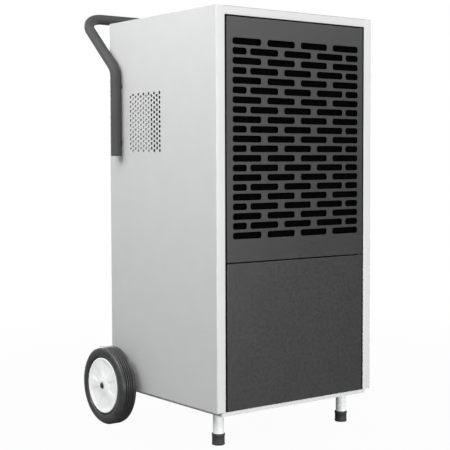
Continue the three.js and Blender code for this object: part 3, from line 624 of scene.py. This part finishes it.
def base_pan():
    """A shallow inverted tray: a floor with its skirt folded down all round."""
    shape = Shape()
    lo, hi = cad("base_pan")
    rings = [(inset, hi.z - drop) for inset, drop in quarter_round(2.5, 4)]
    rings += [(0, lo.z), (SHEET, lo.z), (SHEET, hi.z - SHEET)]
    rows = shape.stack(at_height, [(inset_rectangle(lo, hi, inset, 5 - inset), z) for inset, z in rings])
    shape.fill(rows[0])
    shape.fill(rows[-1])
    shape.piece("base_tray", WHITE_PAINT, "base_pan")


# ---- front panels
def grille_holes():
    """Rows of four long slots alternate with rows of three, which end in a short slot at each side."""
    holes = []
    for row in range(GRILLE_ROWS):
        z = GRILLE_TOP - row * SLOT_PITCH_Z
        count = 3 if row % 2 else 4
        for i in range(count):
            x = (i - (count - 1) / 2) * SLOT_PITCH_X
            holes.append(slot_hole(x, z, SLOT_LONG, SLOT_HEIGHT, SLOT_CORNER))
        if row % 2:
            for end in (-1, 1):
                x = end * (GRILLE_HALF - SLOT_SHORT / 2)
                holes.append(slot_hole(x, z, SLOT_SHORT, SLOT_HEIGHT, SLOT_CORNER))
    return holes


def front_panel(name, node, body, holes):
    """A pressed panel: rounded front edges, sides folded back and a narrow flange behind."""
    lo, hi = cad(node)
    lo.x += SHADOW_GAP
    hi.x -= SHADOW_GAP
    if node == "grille_door":
        lo.z -= SEAM_LAP
    else:
        hi.z += SEAM_LAP
    depth, flange = hi.y, 10.0
    folds = [*quarter_round(1.0, 4), (0, depth - 1), (1, depth), (flange, depth),
             (flange, depth - SHEET), (SHEET, depth - SHEET)]
    rings = [(inset_rectangle(lo.xz, hi.xz, inset, 2.5 - inset, 3), drop) for inset, drop in folds]
    shape = Shape()
    shape.pressing(facing_front, rings, holes, SHEET, lip=0.3, undercut=0.8)
    shape.piece(name, ANTHRACITE, node, body)


# ---- handle, legs and wheels
def handle():
    corners = [(-HANDLE_X, HANDLE_Y, HANDLE_BOTTOM), (-HANDLE_X, HANDLE_Y, HANDLE_BEND_Z),
               (-HANDLE_X, GRIP_Y, GRIP_Z), (HANDLE_X, GRIP_Y, GRIP_Z),
               (HANDLE_X, HANDLE_Y, HANDLE_BEND_Z), (HANDLE_X, HANDLE_Y, HANDLE_BOTTOM)]
    line = bent_line(corners, [LOW_BEND, GRIP_BEND, GRIP_BEND, LOW_BEND], 16)
    shape = Shape().tube(line, HANDLE_RADIUS, 40, bore=HANDLE_RADIUS - 1.5)
    inner, outer = HALF + GAP, HANDLE_X - HANDLE_RADIUS + 2
    spacer = [(0, inner), (6.3, inner), (7, inner + 0.7), (7, outer), (0, outer)]
    for side in (-1, 1):
        for z in HANDLE_BOLTS:
            shape.turn("x", (0, HANDLE_Y, z), [(radius, side * x) for radius, x in spacer], 24)
    shape.piece("push_handle", HANDLE_PAINT, "handle_tube")


def handle_cap(name, side):
    cap = Shape().turn("z", (side * HANDLE_X, HANDLE_Y, HANDLE_BOTTOM), [
        (0, -2.5), (10.5, -2.5), (12.4, -2.1), (13, -1.2), (13, -GAP), (11.3, -GAP), (11.3, 9), (0, 9)], 40)
    cap.piece(f"{name}_tube_plug", BLACK_PLASTIC, f"{name}_handle_cap")


def leg(name):
    lo, hi = cad(f"{name}_leg")
    x, y = (lo.x + hi.x) / 2, (lo.y + hi.y) / 2
    radius = 12.7
    shape = Shape()
    shape.turn("z", (x, y, 0), [(radius - 1.5, lo.z), (radius - 0.3, lo.z), (radius, lo.z + 0.4),
                                (radius, hi.z - 6), (radius + 0.8, hi.z - 4), (radius + 2.5, hi.z - 2.4),
                                (radius - 1.5, hi.z - 2.4)], 48, closed=True)
    shape.block((lo.x, lo.y, hi.z - 2.5), (hi.x, hi.y, hi.z), 0.8)
    for dx in (-1, 1):
        for dy in (-1, 1):
            shape.turn("z", (x + dx * 18, y + dy * 18, hi.z - 2.5), [
                (0, -3.2), (3, -3.2), (4.6, -2.2), (5, -0.8), (5, 0), (0, 0)], 24)
    shape.piece(f"{name}_tube_leg", BRIGHT_STEEL, f"{name}_leg")


def foot(name):
    lo, hi = cad(f"{name}_foot")
    x, y = (lo.x + hi.x) / 2, (lo.y + hi.y) / 2
    radius = (hi.x - lo.x) / 2
    shape = Shape().turn("z", (x, y, 0), [
        (0, 0), (radius - 3, 0), (radius - 1.2, 0.3), (radius - 0.3, 1.4), (radius - 0.1, 4),
        (radius - 0.7, 5), (radius - 0.7, 20), (radius - 0.1, 21), (radius, 22.5), (radius, 25.2),
        (radius - 0.5, 26.5), (radius - 1.4, 27), (13, 27), (13, 4), (0, 4)], 48)
    shape.piece(f"{name}_rubber_foot", FOOT_RUBBER, f"{name}_foot")


def wheel_profile(side, profile):
    """Heights that run outwards from a wheel's inner face, as places along x."""
    return [(radius, side * (WHEEL_INNER + height)) for radius, height in profile]


def tyre_outline():
    """A solid tyre: a bead that laps the rim, round shoulders and a tread of narrow ribs."""
    tread, ribs = 29.0, 5
    pitch = tread / ribs
    half = [(RIM_RADIUS + GAP, 8), (BEAD_RADIUS, 8), (BEAD_RADIUS, 4.4), (70.4, 3.4), (71.8, 3.6),
            (72.8, 5.2), (73.8, 5.2), (74.8, 2.8), (77, 1.2), (80, 0.3), (84, 0), (88, 0.6), (92, 2.2),
            (95, 4.8), (96.4, 6.6)]
    rib = [(0.02, -4.0), (0.26, -4.0), (0.3, -1.6), (0.38, -0.6), (0.5, -0.1), (0.64, 0.0), (0.78, -0.1),
           (0.9, -0.6), (0.98, -1.6)]
    outline = list(half)
    for i in range(ribs):
        start = (WHEEL_WIDTH - tread) / 2 + i * pitch
        outline += [(WHEEL_RADIUS + height, start + at * pitch) for at, height in rib]
    return outline + [(radius, WHEEL_WIDTH - height) for radius, height in reversed(half)]


def tyre(name, side):
    shape = Shape().turn("x", WHEEL_AXIS, wheel_profile(side, tyre_outline()), 120, closed=True)
    shape.piece(f"{name}_ribbed_tyre", TYRE_RUBBER, f"{name}_tyre", f"{name}_wheel", sharp=60)


def rim_relief(radius, angle):
    """How far the disc dips between its five broad spokes, in mm."""
    spoke = 0.5 + 0.5 * math.cos(5 * angle)
    between = max(0.0, 0.75 - spoke) / 0.75
    across = max(0.0, min(1.0, (radius - 22) / 8)) * max(0.0, min(1.0, (63 - radius) / 6))
    return 1.7 * min(1.0, between * 2.2) * across


def rim(name, side):
    """A moulded disc: hub, five shallow pockets and a rolled edge."""
    shape = Shape()
    w = WHEEL_WIDTH
    face = [(6.3, w - 5), (7.2, w - 4.5), (7.8, w - 2.4), (8.8, w - 1.8), (12, w - 1.9), (15, w - 2.2),
            (18, w - 2.8), (22, w - 3.3), (26, w - 3.6), (30, w - 3.8), (38, w - 4), (46, w - 4),
            (54, w - 3.9), (58, w - 3.7), (61, w - 3.5), (63.5, w - 3.2), (65.5, w - 2.4), (67, w - 2),
            (68.2, w - 2.1), (69, w - 2.8), (69.2, w - 3.6), (69.2, w - 8.3), (72, w - 8.3)]
    back = [(72, 8.3), (69.2, 8.3), (69.2, 5), (68.4, 4.4), (67, 4.4), (66, 5), (66, 27), (18, 27),
            (18, -3.4), (17.4, -4), (6.3, -4)]
    shape.turn("x", WHEEL_AXIS, wheel_profile(side, face + back), 100, closed=True)
    for vert in shape.mesh.verts:
        out = Vector((vert.co.y - WHEEL_Y, vert.co.z - WHEEL_Z))
        height = side * vert.co.x - WHEEL_INNER
        if height > w - 6 and out.length > 20:
            vert.co.x -= side * rim_relief(out.length, math.atan2(out.y, out.x))
    shape.piece(f"{name}_disc", WHITE_PLASTIC, f"{name}_rim", f"{name}_wheel", sharp=50)


def wheel_cap(name, side):
    w = WHEEL_WIDTH
    shape = Shape().turn("x", WHEEL_AXIS, wheel_profile(side, [
        (0, w + 0.6), (3.2, w + 0.6), (3.8, w + 1.2), (5.6, w + 1.4), (7, w + 0.6), (7.6, w - 0.7),
        (0, w - 0.7)]), 32)
    shape.piece(f"{name}_axle_cap", BLACK_PLASTIC, f"{name}_wheel_cap")


# ---- door fittings
def air_filter():
    """A cassette: a coarse mesh over a sheet of black foam, in a ribbed tray."""
    lo, hi = cad("air_filter")
    width, foam_front, foam_back = 12.0, 9.0, 10.5

    def surround(shape, front, back):
        rings = [(0.8, front), (0, front + 0.8), (0, back - 0.8), (0.8, back), (width - 0.8, back),
                 (width, back - 0.8), (width, front + 0.8), (width - 0.8, front)]
        rings = [(inset_rectangle(lo.xz, hi.xz, inset, 4), depth) for inset, depth in rings]
        shape.stack(facing_front, rings, wrap=True)

    def bars(shape, counts, bar, front, back):
        """Evenly spaced bars each way across the tray's opening."""
        for axis, count in zip((0, 2), counts):
            start, end = lo[axis] + width, hi[axis] - width
            for i in range(1, count + 1):
                corner = Vector((lo.x + width, front, lo.z + width))
                other = Vector((hi.x - width, back, hi.z - width))
                corner[axis] = start + (end - start) * i / (count + 1) - bar / 2
                other[axis] = corner[axis] + bar
                shape.block(corner, other)

    net = Shape()
    surround(net, lo.y, foam_front)
    bars(net, (52, 71), 1.0, foam_front - 1, foam_front)
    lap = width - 2
    net.block((lo.x + lap, foam_front, lo.z + lap), (hi.x - lap, foam_back, hi.z - lap))
    net.piece("filter_mesh", FOAM_AND_SHADE_BLACK, "air_filter", "door")
    tray = Shape()
    surround(tray, foam_front + 0.1, hi.y)
    bars(tray, (3, 5), 4.0, foam_back, hi.y - 1)
    tray.piece("filter_tray", BLACK_PLASTIC, body="door")


def shade_strips_and_baffle():
    """Black strips as painted shade round the front opening, behind the seam and behind the vent's front
    columns, where the gaps and holes fall into shade.

    A light baffle stands behind the vent's other columns.
    """
    outer, inner, hinge_side = OPENING + 0.2, DOOR_HI.x - SHADOW_GAP + 0.5, OPENING - 1.8
    low, high = BASE + 1, RAIL_BOTTOM - 0.4
    shape = Shape()
    # Black strips that fill the gaps round the opening and behind the seam: painted shade, so the gaps read
    # dark.
    shape.block((-outer, 1.2, low), (-inner, 16, high), 0.3)
    shape.block((hinge_side, 1.2, low), (outer, 16, high), 0.3)
    shape.block((-outer, 1.2, DOOR_HI.z + 0.5), (outer, 16, RAIL_BOTTOM + 0.2), 0.3)
    shape.block((-outer, DOOR_HI.y + 3, SEAM - 7), (inner - 30, DOOR_HI.y + 4.5, SEAM + 7), 0.3)
    shape.piece("gap_shade_strip", FOAM_AND_SHADE_BLACK)
    low, high = VENT_Z - 20, VENT_Z + (VENT_ROWS - 1.5) * VENT_PITCH_Z
    baffle = Shape().block((3 - HALF, VENT_Y + 3.5 * VENT_PITCH_Y, low),
                           (4 - HALF, VENT_Y + (VENT_COLUMNS + 1) * VENT_PITCH_Y, high), 0.2)
    baffle.piece("vent_baffle", WHITE_PAINT)
    # A black backing behind the vent's front columns: painted shade, so those holes look dark.
    foam = Shape().block((4.5 - HALF, VENT_Y - VENT_PITCH_Y, low),
                         (8 - HALF, VENT_Y + 5 * VENT_PITCH_Y, high), 0.4)
    foam.piece("vent_shade_backing", FOAM_AND_SHADE_BLACK)


def rear_fittings():
    """The cable gland, the barbed drain port and the screws of the rear panel."""
    gland = Shape().turn("y", facing_back(*GLAND, 0), [
        (4, -12), (8, -12), (8, GAP), (10.6, GAP), (11, 0.8), (11, 8.2), (10.4, 9), (8, 9.4), (7.6, 12),
        (6.6, 13.6), (5, 14), (4, 13.4)], 48, closed=True)
    gland.piece("cable_gland", BLACK_PLASTIC, "power_gland")
    barbs = [point for i in range(3) for point in ((6, 9 + i * 5.2), (7, 10.2 + i * 5.2), (6, 14 + i * 5.2))]
    port = Shape().turn("y", facing_back(*DRAIN, 0), [
        (4.5, -14), (7, -14), (7, GAP), (10.6, GAP), (11, 0.8), (11, 4.4), (10.4, 5), (6, 5), *barbs,
        (6, 24.6), (5.6, 25), (4.5, 25)], 48, closed=True)
    port.piece("drain_barb", BLACK_PLASTIC, "drain_port")
    screws = Shape()
    for side in (-1, 1):
        for i in range(5):
            place = (side * 200, DEPTH, BASE + 30 + i * (TOP - BASE - 60) / 4)
            screws.turn("y", place, [(0, -1), (4, -1), (4.2, 0.4), (3.4, 1.5), (1.8, 2.1), (0, 2.2)], 24)
    screws.piece("rear_screws", BRIGHT_STEEL)


# ---- control panel
BEZEL_LO, BEZEL_HI = cad("control_panel")
WINDOW_LO, WINDOW_HI = cad("display_window")
KEYS = ("power", "mode", "down", "up")


def key_place(key):
    lo, hi = cad(f"{key}_button")
    return (lo.x + hi.x) / 2, (lo.y + hi.y) / 2, hi.z


def bezel():
    """A moulded cover with a soft edge, a window, four key holes and a skirt into the deck."""
    plate = 3.0
    size = WINDOW_HI - WINDOW_LO
    holes = [slot_hole(0, (WINDOW_LO.y + WINDOW_HI.y) / 2, size.x + 0.6, size.y + 0.6, 1.5)]
    holes += [round_hole(x, y, 7.6, 32) for x, y, _ in map(key_place, KEYS)]
    folds = [*quarter_round(1.6, 4), (0, plate), (9.5, plate), (9.5, plate + 12), (12, plate + 12),
             (12, plate)]
    rings = [(inset_rectangle(BEZEL_LO, BEZEL_HI, inset, 9 - inset, 8), drop) for inset, drop in folds]
    shape = Shape()
    shape.pressing(facing_up(BEZEL_HI.z), rings, holes, plate, lip=0.5, steps=3)
    shape.piece("control_bezel", BLACK_PLASTIC, "control_panel")
    window = Shape().block(WINDOW_LO, WINDOW_HI, 0.5)
    window.piece("display_lens", WINDOW, "display_window")


def digits():
    """Two seven-segment digits that show a humidity of fifty per cent."""
    shape = Shape()
    width, height, stroke = 6.0, 6.0, 1.1
    flat = (width / 2 - 0.4, stroke / 2)
    upright = (stroke / 2, height / 2 - 0.4)
    segments = {"a": (0, 1, flat), "b": (0.5, 0.5, upright), "c": (0.5, -0.5, upright), "d": (0, -1, flat),
                "e": (-0.5, -0.5, upright), "f": (-0.5, 0.5, upright), "g": (0, 0, flat)}
    middle, z = (WINDOW_LO.y + WINDOW_HI.y) / 2, WINDOW_HI.z
    for column, lit in ((-6, "afgcd"), (6, "abcdef")):
        for u, v, (across, along) in (segments[segment] for segment in lit):
            x, y = column + u * width, middle + v * height
            shape.block((x - across, y - along, z), (x + across, y + along, z + 0.1))
    shape.piece("display_digits", DIGITS)


def key_mark(key, x, y, z):
    """The key's sign: power, a drop, or a triangle down or up."""
    shape = Shape()

    def flat(outline):
        placed = [(x + u, y + v) for u, v in outline]
        for row in shape.stack(at_height, [(placed, z - 0.2), (placed, z + 0.08)]):
            shape.fill(row)

    if key == "power":
        flat(arc(0, -0.3, 3.4, 125, 415, 20) + arc(0, -0.3, 2.7, 415, 125, 20))
        flat([(-0.35, -0.2), (0.35, -0.2), (0.35, 3.6), (-0.35, 3.6)])
    elif key == "mode":
        flat([(0, 3.8), *arc(0, -0.9, 2.4, 30, -210, 20)])
    else:
        way = 1 if key == "up" else -1
        flat([(-3, -1.6 * way), (3, -1.6 * way), (0, 3 * way)])
    shape.piece(f"{key}_sign", MARKS, body=f"{key}_key")


def keys():
    for key in KEYS:
        x, y, z = key_place(key)
        low = BEZEL_HI.z - 3 - GAP
        cap = Shape().turn("z", (x, y, 0), [(0, low - 2), (8.5, low - 2), (8.5, low), (7, low), (7, z - 0.7),
                                            (6.8, z - 0.25), (6.2, z), (0, z)], 40)
        cap.piece(f"{key}_key_cap", WHITE_PLASTIC, f"{key}_button", f"{key}_key")
        key_mark(key, x, y, z)


# ---- water tank
TANK_LO, TANK_HI = cad("water_tank")
FLOAT_X, FLOAT_Y, FLOAT_Z = 100.0, 250.0, 366.0


def water_tank():
    """A moulded tub with round corners, a rolled rim and two lugs for the float."""
    lo, hi = TANK_LO, TANK_HI
    rings = [(9, lo.z), (4.5, lo.z + 1), (1.5, lo.z + 3.5), (0.3, lo.z + 8), (0, hi.z - 1.2),
             (0.5, hi.z - 0.3), (1.5, hi.z), (2.4, hi.z - 0.3), (3, hi.z - 1.2), (3.3, lo.z + 10),
             (4.5, lo.z + 5.5), (7, lo.z + 3.6), (11, lo.z + 3)]
    shape = Shape()
    rows = shape.stack(at_height, [(inset_rectangle(lo, hi, inset, max(18 - inset, 6), 8), z)
                                   for inset, z in rings])
    shape.fill(rows[0])
    shape.fill(rows[-1])
    for end in (-1, 1):
        x = sorted((FLOAT_X + end * 25, FLOAT_X + end * 30))
        shape.block((x[0], FLOAT_Y - 8, FLOAT_Z - 8), (x[1], hi.y - 1, FLOAT_Z + 8), 1.5)
    shape.piece("water_tub", TANK_PLASTIC, "water_tank", "tank")


def tank_float():
    """A hollow float block on an arm that swings on two pins."""
    shape = Shape().turn("x", (FLOAT_X, 0, 0), [(0, -32), (2.3, -32), (2.5, -31.5), (2.5, -20), (6, -19.5),
                                                (6, 19.5), (2.5, 20), (2.5, 31.5), (2.3, 32), (0, 32)], 24)
    shape.block((FLOAT_X - 10, -72, -2), (FLOAT_X + 10, 0, 2), 0.6)
    shape.block((FLOAT_X - 30, -115, -12), (FLOAT_X + 30, -70, 12), 4, 3)
    droop = Matrix.Translation((0, FLOAT_Y, FLOAT_Z)) @ Matrix.Rotation(math.radians(25), 4, "X")
    shape.mesh.transform(droop)
    shape.piece("float_arm", WHITE_PLASTIC, "tank_float", "float")


# ---- cooling circuit
def compressor():
    """A welded steel shell on a three-eared foot with rubber mounts, and the accumulator beside it."""
    x, y, radius, top, sole = COMPRESSOR_X, COMPRESSOR_Y, COMPRESSOR_RADIUS, COMPRESSOR_TOP, 96.0
    shape = Shape().turn("z", (x, y, 0), [
        (0, sole + 3), (radius - 12, sole + 3), (radius - 4, sole + 7), (radius - 1, sole + 16),
        (radius - 1, 208), (radius, 210), (radius, 216), (radius - 1, 218), (radius - 1, top - 40),
        (radius - 4, top - 26), (radius - 14, top - 13), (radius - 30, top - 4), (0, top)], 72)
    ears = arc(x, y, 72, 90, 330, 2)
    outline = [point for i, ear in enumerate(ears) for point in arc(*ear, 12, 30 + 120 * i, 150 + 120 * i, 8)]
    shape.bridge(*shape.plate(facing_up(sole + 4), outline, [], 4))
    shape.block((x + 20, y - radius - 3, 225), (x + 60, y - 30, 275), 4, 3)
    shape.piece("compressor_shell", BLACK_PAINT, "compressor")
    low, high = BASE - 0.2, sole - GAP
    mount = [(4, low), (10, low), (10, low + 2.5), (8.6, low + 3.5), (8.6, high - 3.5), (10, high - 2.5),
             (10, high), (4, high)]
    for i, ear in enumerate(ears, 1):
        foot_pad = Shape().turn("z", (*ear, 0), mount, 32, closed=True)
        foot_pad.piece(f"rubber_mount_{i}", FOOT_RUBBER, f"compressor_grommet_{i}")
    can_x = ACCUMULATOR_X
    can = Shape().turn("z", (can_x, y, 0), [
        (0, 190), (8, 190), (18, 193), (25, 200), (27, 208), (27, 312), (25, 321), (18, 328), (8, top),
        (0, top)], 48)
    can.tube(bent_line([(can_x, y, 195), (can_x, y, 150), (x - radius - GAP, y, 150)], [20]), 6)
    can.piece("suction_accumulator", BLACK_PAINT, "accumulator")


def pipes():
    """Copper lines between the compressor and the coils, with the drier and the capillary tube."""
    x, y, low, top = COMPRESSOR_X, COMPRESSOR_Y, PIPE_LOW, COMPRESSOR_TOP + GAP
    end, cold, warm, drier_x = COIL_HALF + GAP, EVAPORATOR_Y, CONDENSER_Y, DRIER_X

    def run(node, radius, bend, *corners):
        line = bent_line(corners, [bend] * (len(corners) - 2), 8)
        Shape().tube(line, radius, 20).piece(f"{node}_pipe", COPPER, node)

    run("discharge_line", 5, 14, (x, y, top), (x, y, low), (224, y, low), (224, warm, low),
        (224, warm, 880), (end, warm, 880))
    run("suction_line", 6, 14, (-end, cold, 520), (-219, cold, 520), (-219, cold, low), (-219, y, low),
        (ACCUMULATOR_X, y, low), (ACCUMULATOR_X, y, top))
    run("liquid_line", 4, 12, (-end, warm, 500), (drier_x, warm, 500), (drier_x, warm, 559.7))
    run("capillary_tube", 2, 12, (drier_x, warm, 660.3), (drier_x, warm, 900), (drier_x, cold, 900),
        (-end, cold, 900))
    drier = Shape().turn("z", (drier_x, warm, 0), [
        (0, 560), (4, 560), (4.4, 563), (8.5, 568), (10.6, 573), (11, 577), (11, 643), (10.6, 647),
        (8.5, 652), (4.4, 657), (4, 660), (0, 660)], 32)
    drier.piece("drier_can", COPPER, "filter_drier")


def coil(name, middle):
    """Thin fins across copper hairpins, between two end plates."""
    low, high = COIL_LOW, COIL_HIGH
    front, back = middle - COIL_DEPTH / 2, middle + COIL_DEPTH / 2
    pitch, rows = 3, 9
    fins = Shape()
    for i in range(1, int(2 * COIL_HALF / pitch)):
        x = i * pitch - COIL_HALF
        fins.block((x, front + 1, low + 1), (x + 0.4, back - 1, high - 1))
    for start in (-COIL_HALF, COIL_HALF - 2):
        fins.block((start, front, low), (start + 2, back, high))
    fins.piece(f"{name}_fins", FIN_ALUMINIUM, name)
    bends = Shape()
    for row in range(rows):
        z = low + 30 + row * (high - low - 60) / (rows - 1)
        start, end = COIL_HALF - 1, COIL_HALF + 12
        line = bent_line([(start, middle - 12.5, z), (end, middle - 12.5, z), (end, middle + 12.5, z),
                          (start, middle + 12.5, z)], [10, 10], 6)
        bends.tube(line, 4.5, 14)
    bends.piece(f"{name}_hairpins", COPPER)


# ---- fan
def fan_blade(index):
    """One swept blade as a closed skin: its pitch falls and its chord grows towards the tip."""
    root, tip, thickness = 32.0, 131.5, 0.9
    turn = Matrix.Rotation(math.radians(72 * index), 3, "Y")

    def point(out, across, face):
        chord = 60 * (0.6 + 0.5 * out) * (1 - 0.1 * (2 * out - 1) ** 6)
        z = across * chord / 2
        y = 3 * math.cos(z / 66 * math.pi) + face * thickness * (1 - across ** 4)
        twist = Matrix.Rotation(math.radians(36 - 16 * out), 3, "X")
        place = twist @ Vector((root + out * (tip - root), y, z))
        reach = math.hypot(place.x, place.z)
        if reach > tip:
            place.x *= tip / reach
            place.z *= tip / reach
        return turn @ place + Vector((FAN_X, 224, FAN_Z))

    stations, steps = 12, 14
    chords = [-1 + 2 * i / steps for i in range(steps + 1)]
    section = [(across, 1) for across in chords] + [(across, -1) for across in chords[-2:0:-1]]
    return [[point(out / stations, across, face) for across, face in section]
            for out in range(stations + 1)]


def fan():
    shape = Shape()
    for index in range(5):
        rows = shape.loops(fan_blade(index))
        for end in (rows[0], rows[-1]):
            shape.fill(end)
    shape.turn("y", FAN_AXIS, [
        (0, 206), (20, 206.4), (28, 207.5), (33, 210), (36, 214), (36, 240), (33, 240), (33, 236),
        (4.3, 236), (4.3, 212), (0, 212)], 64)
    shape.piece("fan_wheel", BLACK_PLASTIC, "fan_impeller", "fan")


def fan_motor():
    ribs = [(radius, start + i * 8) for i in range(6)
            for radius, start in ((43.4, 262), (45, 263), (45, 266), (43.4, 267))]
    shape = Shape().turn("y", FAN_AXIS, [
        (0, 213), (3.8, 213), (4, 213.5), (4, 246), (12, 246.5), (12, 248.3), (38, 248.3), (42, 250),
        (45, 254), (45, 259), *ribs, (45, 312), (42, 316), (34, 319.4), (14, 320), (0, 320)], 64)
    shape.block((FAN_X - 16, 268, FAN_Z + 40), (FAN_X + 16, 300, FAN_Z + 62), 2)
    shape.piece("motor_case", BLACK_PAINT, "fan_motor")


def fan_shroud():
    """A bulkhead with a round mouth, a ring behind it and arms that carry the motor."""
    lo, hi = cad("fan_shroud")
    mouth, seat, plate = 138, 248.0, 200.0
    outline = rounded_rectangle(lo.x, lo.z, hi.x, hi.z, 0.5, 1)
    shape = Shape()
    shape.bridge(*shape.plate(lambda u, v, depth: (u, plate + depth, v), outline,
                              [round_hole(FAN_X, FAN_Z, mouth, 96)], 2, lip=1))
    shape.turn("y", FAN_AXIS, [
        (mouth, plate + 1), (140, plate + 1), (140, seat - 1.4), (141.4, seat - 0.7), (141.4, seat),
        (mouth, seat)], 96, closed=True)
    shape.turn("y", FAN_AXIS, [(8, 244), (45, 244), (45, seat), (8, seat)], 64, closed=True)
    for i in range(4):
        turn = Matrix.Rotation((i + 0.5) * math.pi / 2, 4, "Y")
        shape.block((40, 244, -6), (139, seat, 6), 1, at=Matrix.Translation(FAN_AXIS) @ turn)
    shape.piece("fan_bulkhead", GALVANISED, "fan_shroud")


# ---- stage
def camera():
    """Stands to the front left, a little above the middle of the cabinet."""
    yaw, pitch, roll = (math.radians(a) for a in (CAMERA_YAW, CAMERA_PITCH, CAMERA_ROLL))
    data = bpy.data.cameras.new("camera")
    data.lens = CAMERA_LENS
    made = bpy.data.objects.new("camera", data)
    made.matrix_world = (Matrix.Translation(CAMERA_PLACE) @ Matrix.Rotation(-yaw, 4, "Z")
                         @ Matrix.Rotation(math.pi / 2 + pitch, 4, "X") @ Matrix.Rotation(roll, 4, "Z"))
    bpy.context.scene.collection.objects.link(made)
    bpy.context.scene.camera = made


def lights():
    """Wide soft lamps that the camera doesn't see."""
    for name, (place, aim, size, power) in LAMPS.items():
        data = bpy.data.lights.new(name, "AREA")
        data.shape = "RECTANGLE"
        data.size, data.size_y = size
        data.energy = power
        made = bpy.data.objects.new(name, data)
        made.location = place
        made.rotation_euler = (Vector(aim) - Vector(place)).to_track_quat("-Z", "Y").to_euler()
        made.visible_camera = False
        bpy.context.scene.collection.objects.link(made)


def backdrop():
    """A white surround that lights the object less than it shows."""
    world = bpy.data.worlds.new("studio")
    world.use_nodes = True
    tree = world.node_tree
    seen = tree.nodes["Background"]
    seen.inputs["Color"].default_value = (1, 1, 1, 1)
    seen.inputs["Strength"].default_value = 1.0
    felt = tree.nodes.new("ShaderNodeBackground")
    felt.inputs["Color"].default_value = (0.96, 0.98, 1, 1)
    felt.inputs["Strength"].default_value = 0.4
    path = tree.nodes.new("ShaderNodeLightPath")
    mix = tree.nodes.new("ShaderNodeMixShader")
    tree.links.new(path.outputs["Is Camera Ray"], mix.inputs[0])
    tree.links.new(felt.outputs[0], mix.inputs[1])
    tree.links.new(seen.outputs[0], mix.inputs[2])
    tree.links.new(mix.outputs[0], tree.nodes["World Output"].inputs["Surface"])
    bpy.context.scene.world = world


def floor():
    """A pale floor that fades into the white surround, and lights the object less than it shows."""
    look = Look("studio_floor", 0.8, Specular_IOR_Level=0.2)
    look.colour(look.ramp(look.noise(400, 3), grey(122), grey(128)))
    tree = look.tree
    seen = look.node("ShaderNodeLightPath").outputs["Is Camera Ray"]
    paleness = look.node("ShaderNodeMapRange", Value=seen, To_Max=0.965)
    far = look.node("ShaderNodeVectorMath", Vector=look.place)
    far.operation = "LENGTH"
    fade = look.node("ShaderNodeMapRange", Value=far.outputs["Value"], From_Min=0.8, From_Max=2.4,
                     To_Min=paleness.outputs["Result"])
    glow_level = look.node("ShaderNodeMapRange", Value=seen, To_Min=0.2)
    white = look.node("ShaderNodeEmission", Strength=glow_level.outputs["Result"])
    mix = look.node("ShaderNodeMixShader", Fac=fade.outputs["Result"])
    tree.links.new(look.shader.outputs[0], mix.inputs[1])
    tree.links.new(white.outputs[0], mix.inputs[2])
    tree.links.new(mix.outputs[0], tree.nodes["Material Output"].inputs["Surface"])
    mesh = bmesh.new()
    bmesh.ops.create_circle(mesh, cap_ends=True, radius=40, segments=64)
    data = bpy.data.meshes.new("floor")
    mesh.to_mesh(data)
    mesh.free()
    data.materials.append(look.material)
    made = bpy.data.objects.new("floor", data)
    made.location.z = -0.0005
    bpy.context.scene.collection.objects.link(made)


# ---- build
bpy.context.scene.view_settings.view_transform = "Standard"
camera()
lights()
backdrop()
floor()
paint_nodes()
side_panel("left", -1, vent_holes())
side_panel("right", 1, [])
top_panel()
rear_panel()
base_pan()
front_panel("slotted_door", "grille_door", "door", grille_holes())
front_panel("drawer_front", "tank_front", "tank", [])
handle()
for name, side in (("left", -1), ("right", 1)):
    handle_cap(name, side)
    leg(name)
    foot(name)
    tyre(name, side)
    rim(name, side)
    wheel_cap(name, side)
air_filter()
shade_strips_and_baffle()
rear_fittings()
bezel()
digits()
keys()
water_tank()
tank_float()
compressor()
pipes()
coil("evaporator", EVAPORATOR_Y)
coil("condenser", CONDENSER_Y)
fan()
fan_motor()
fan_shroud()
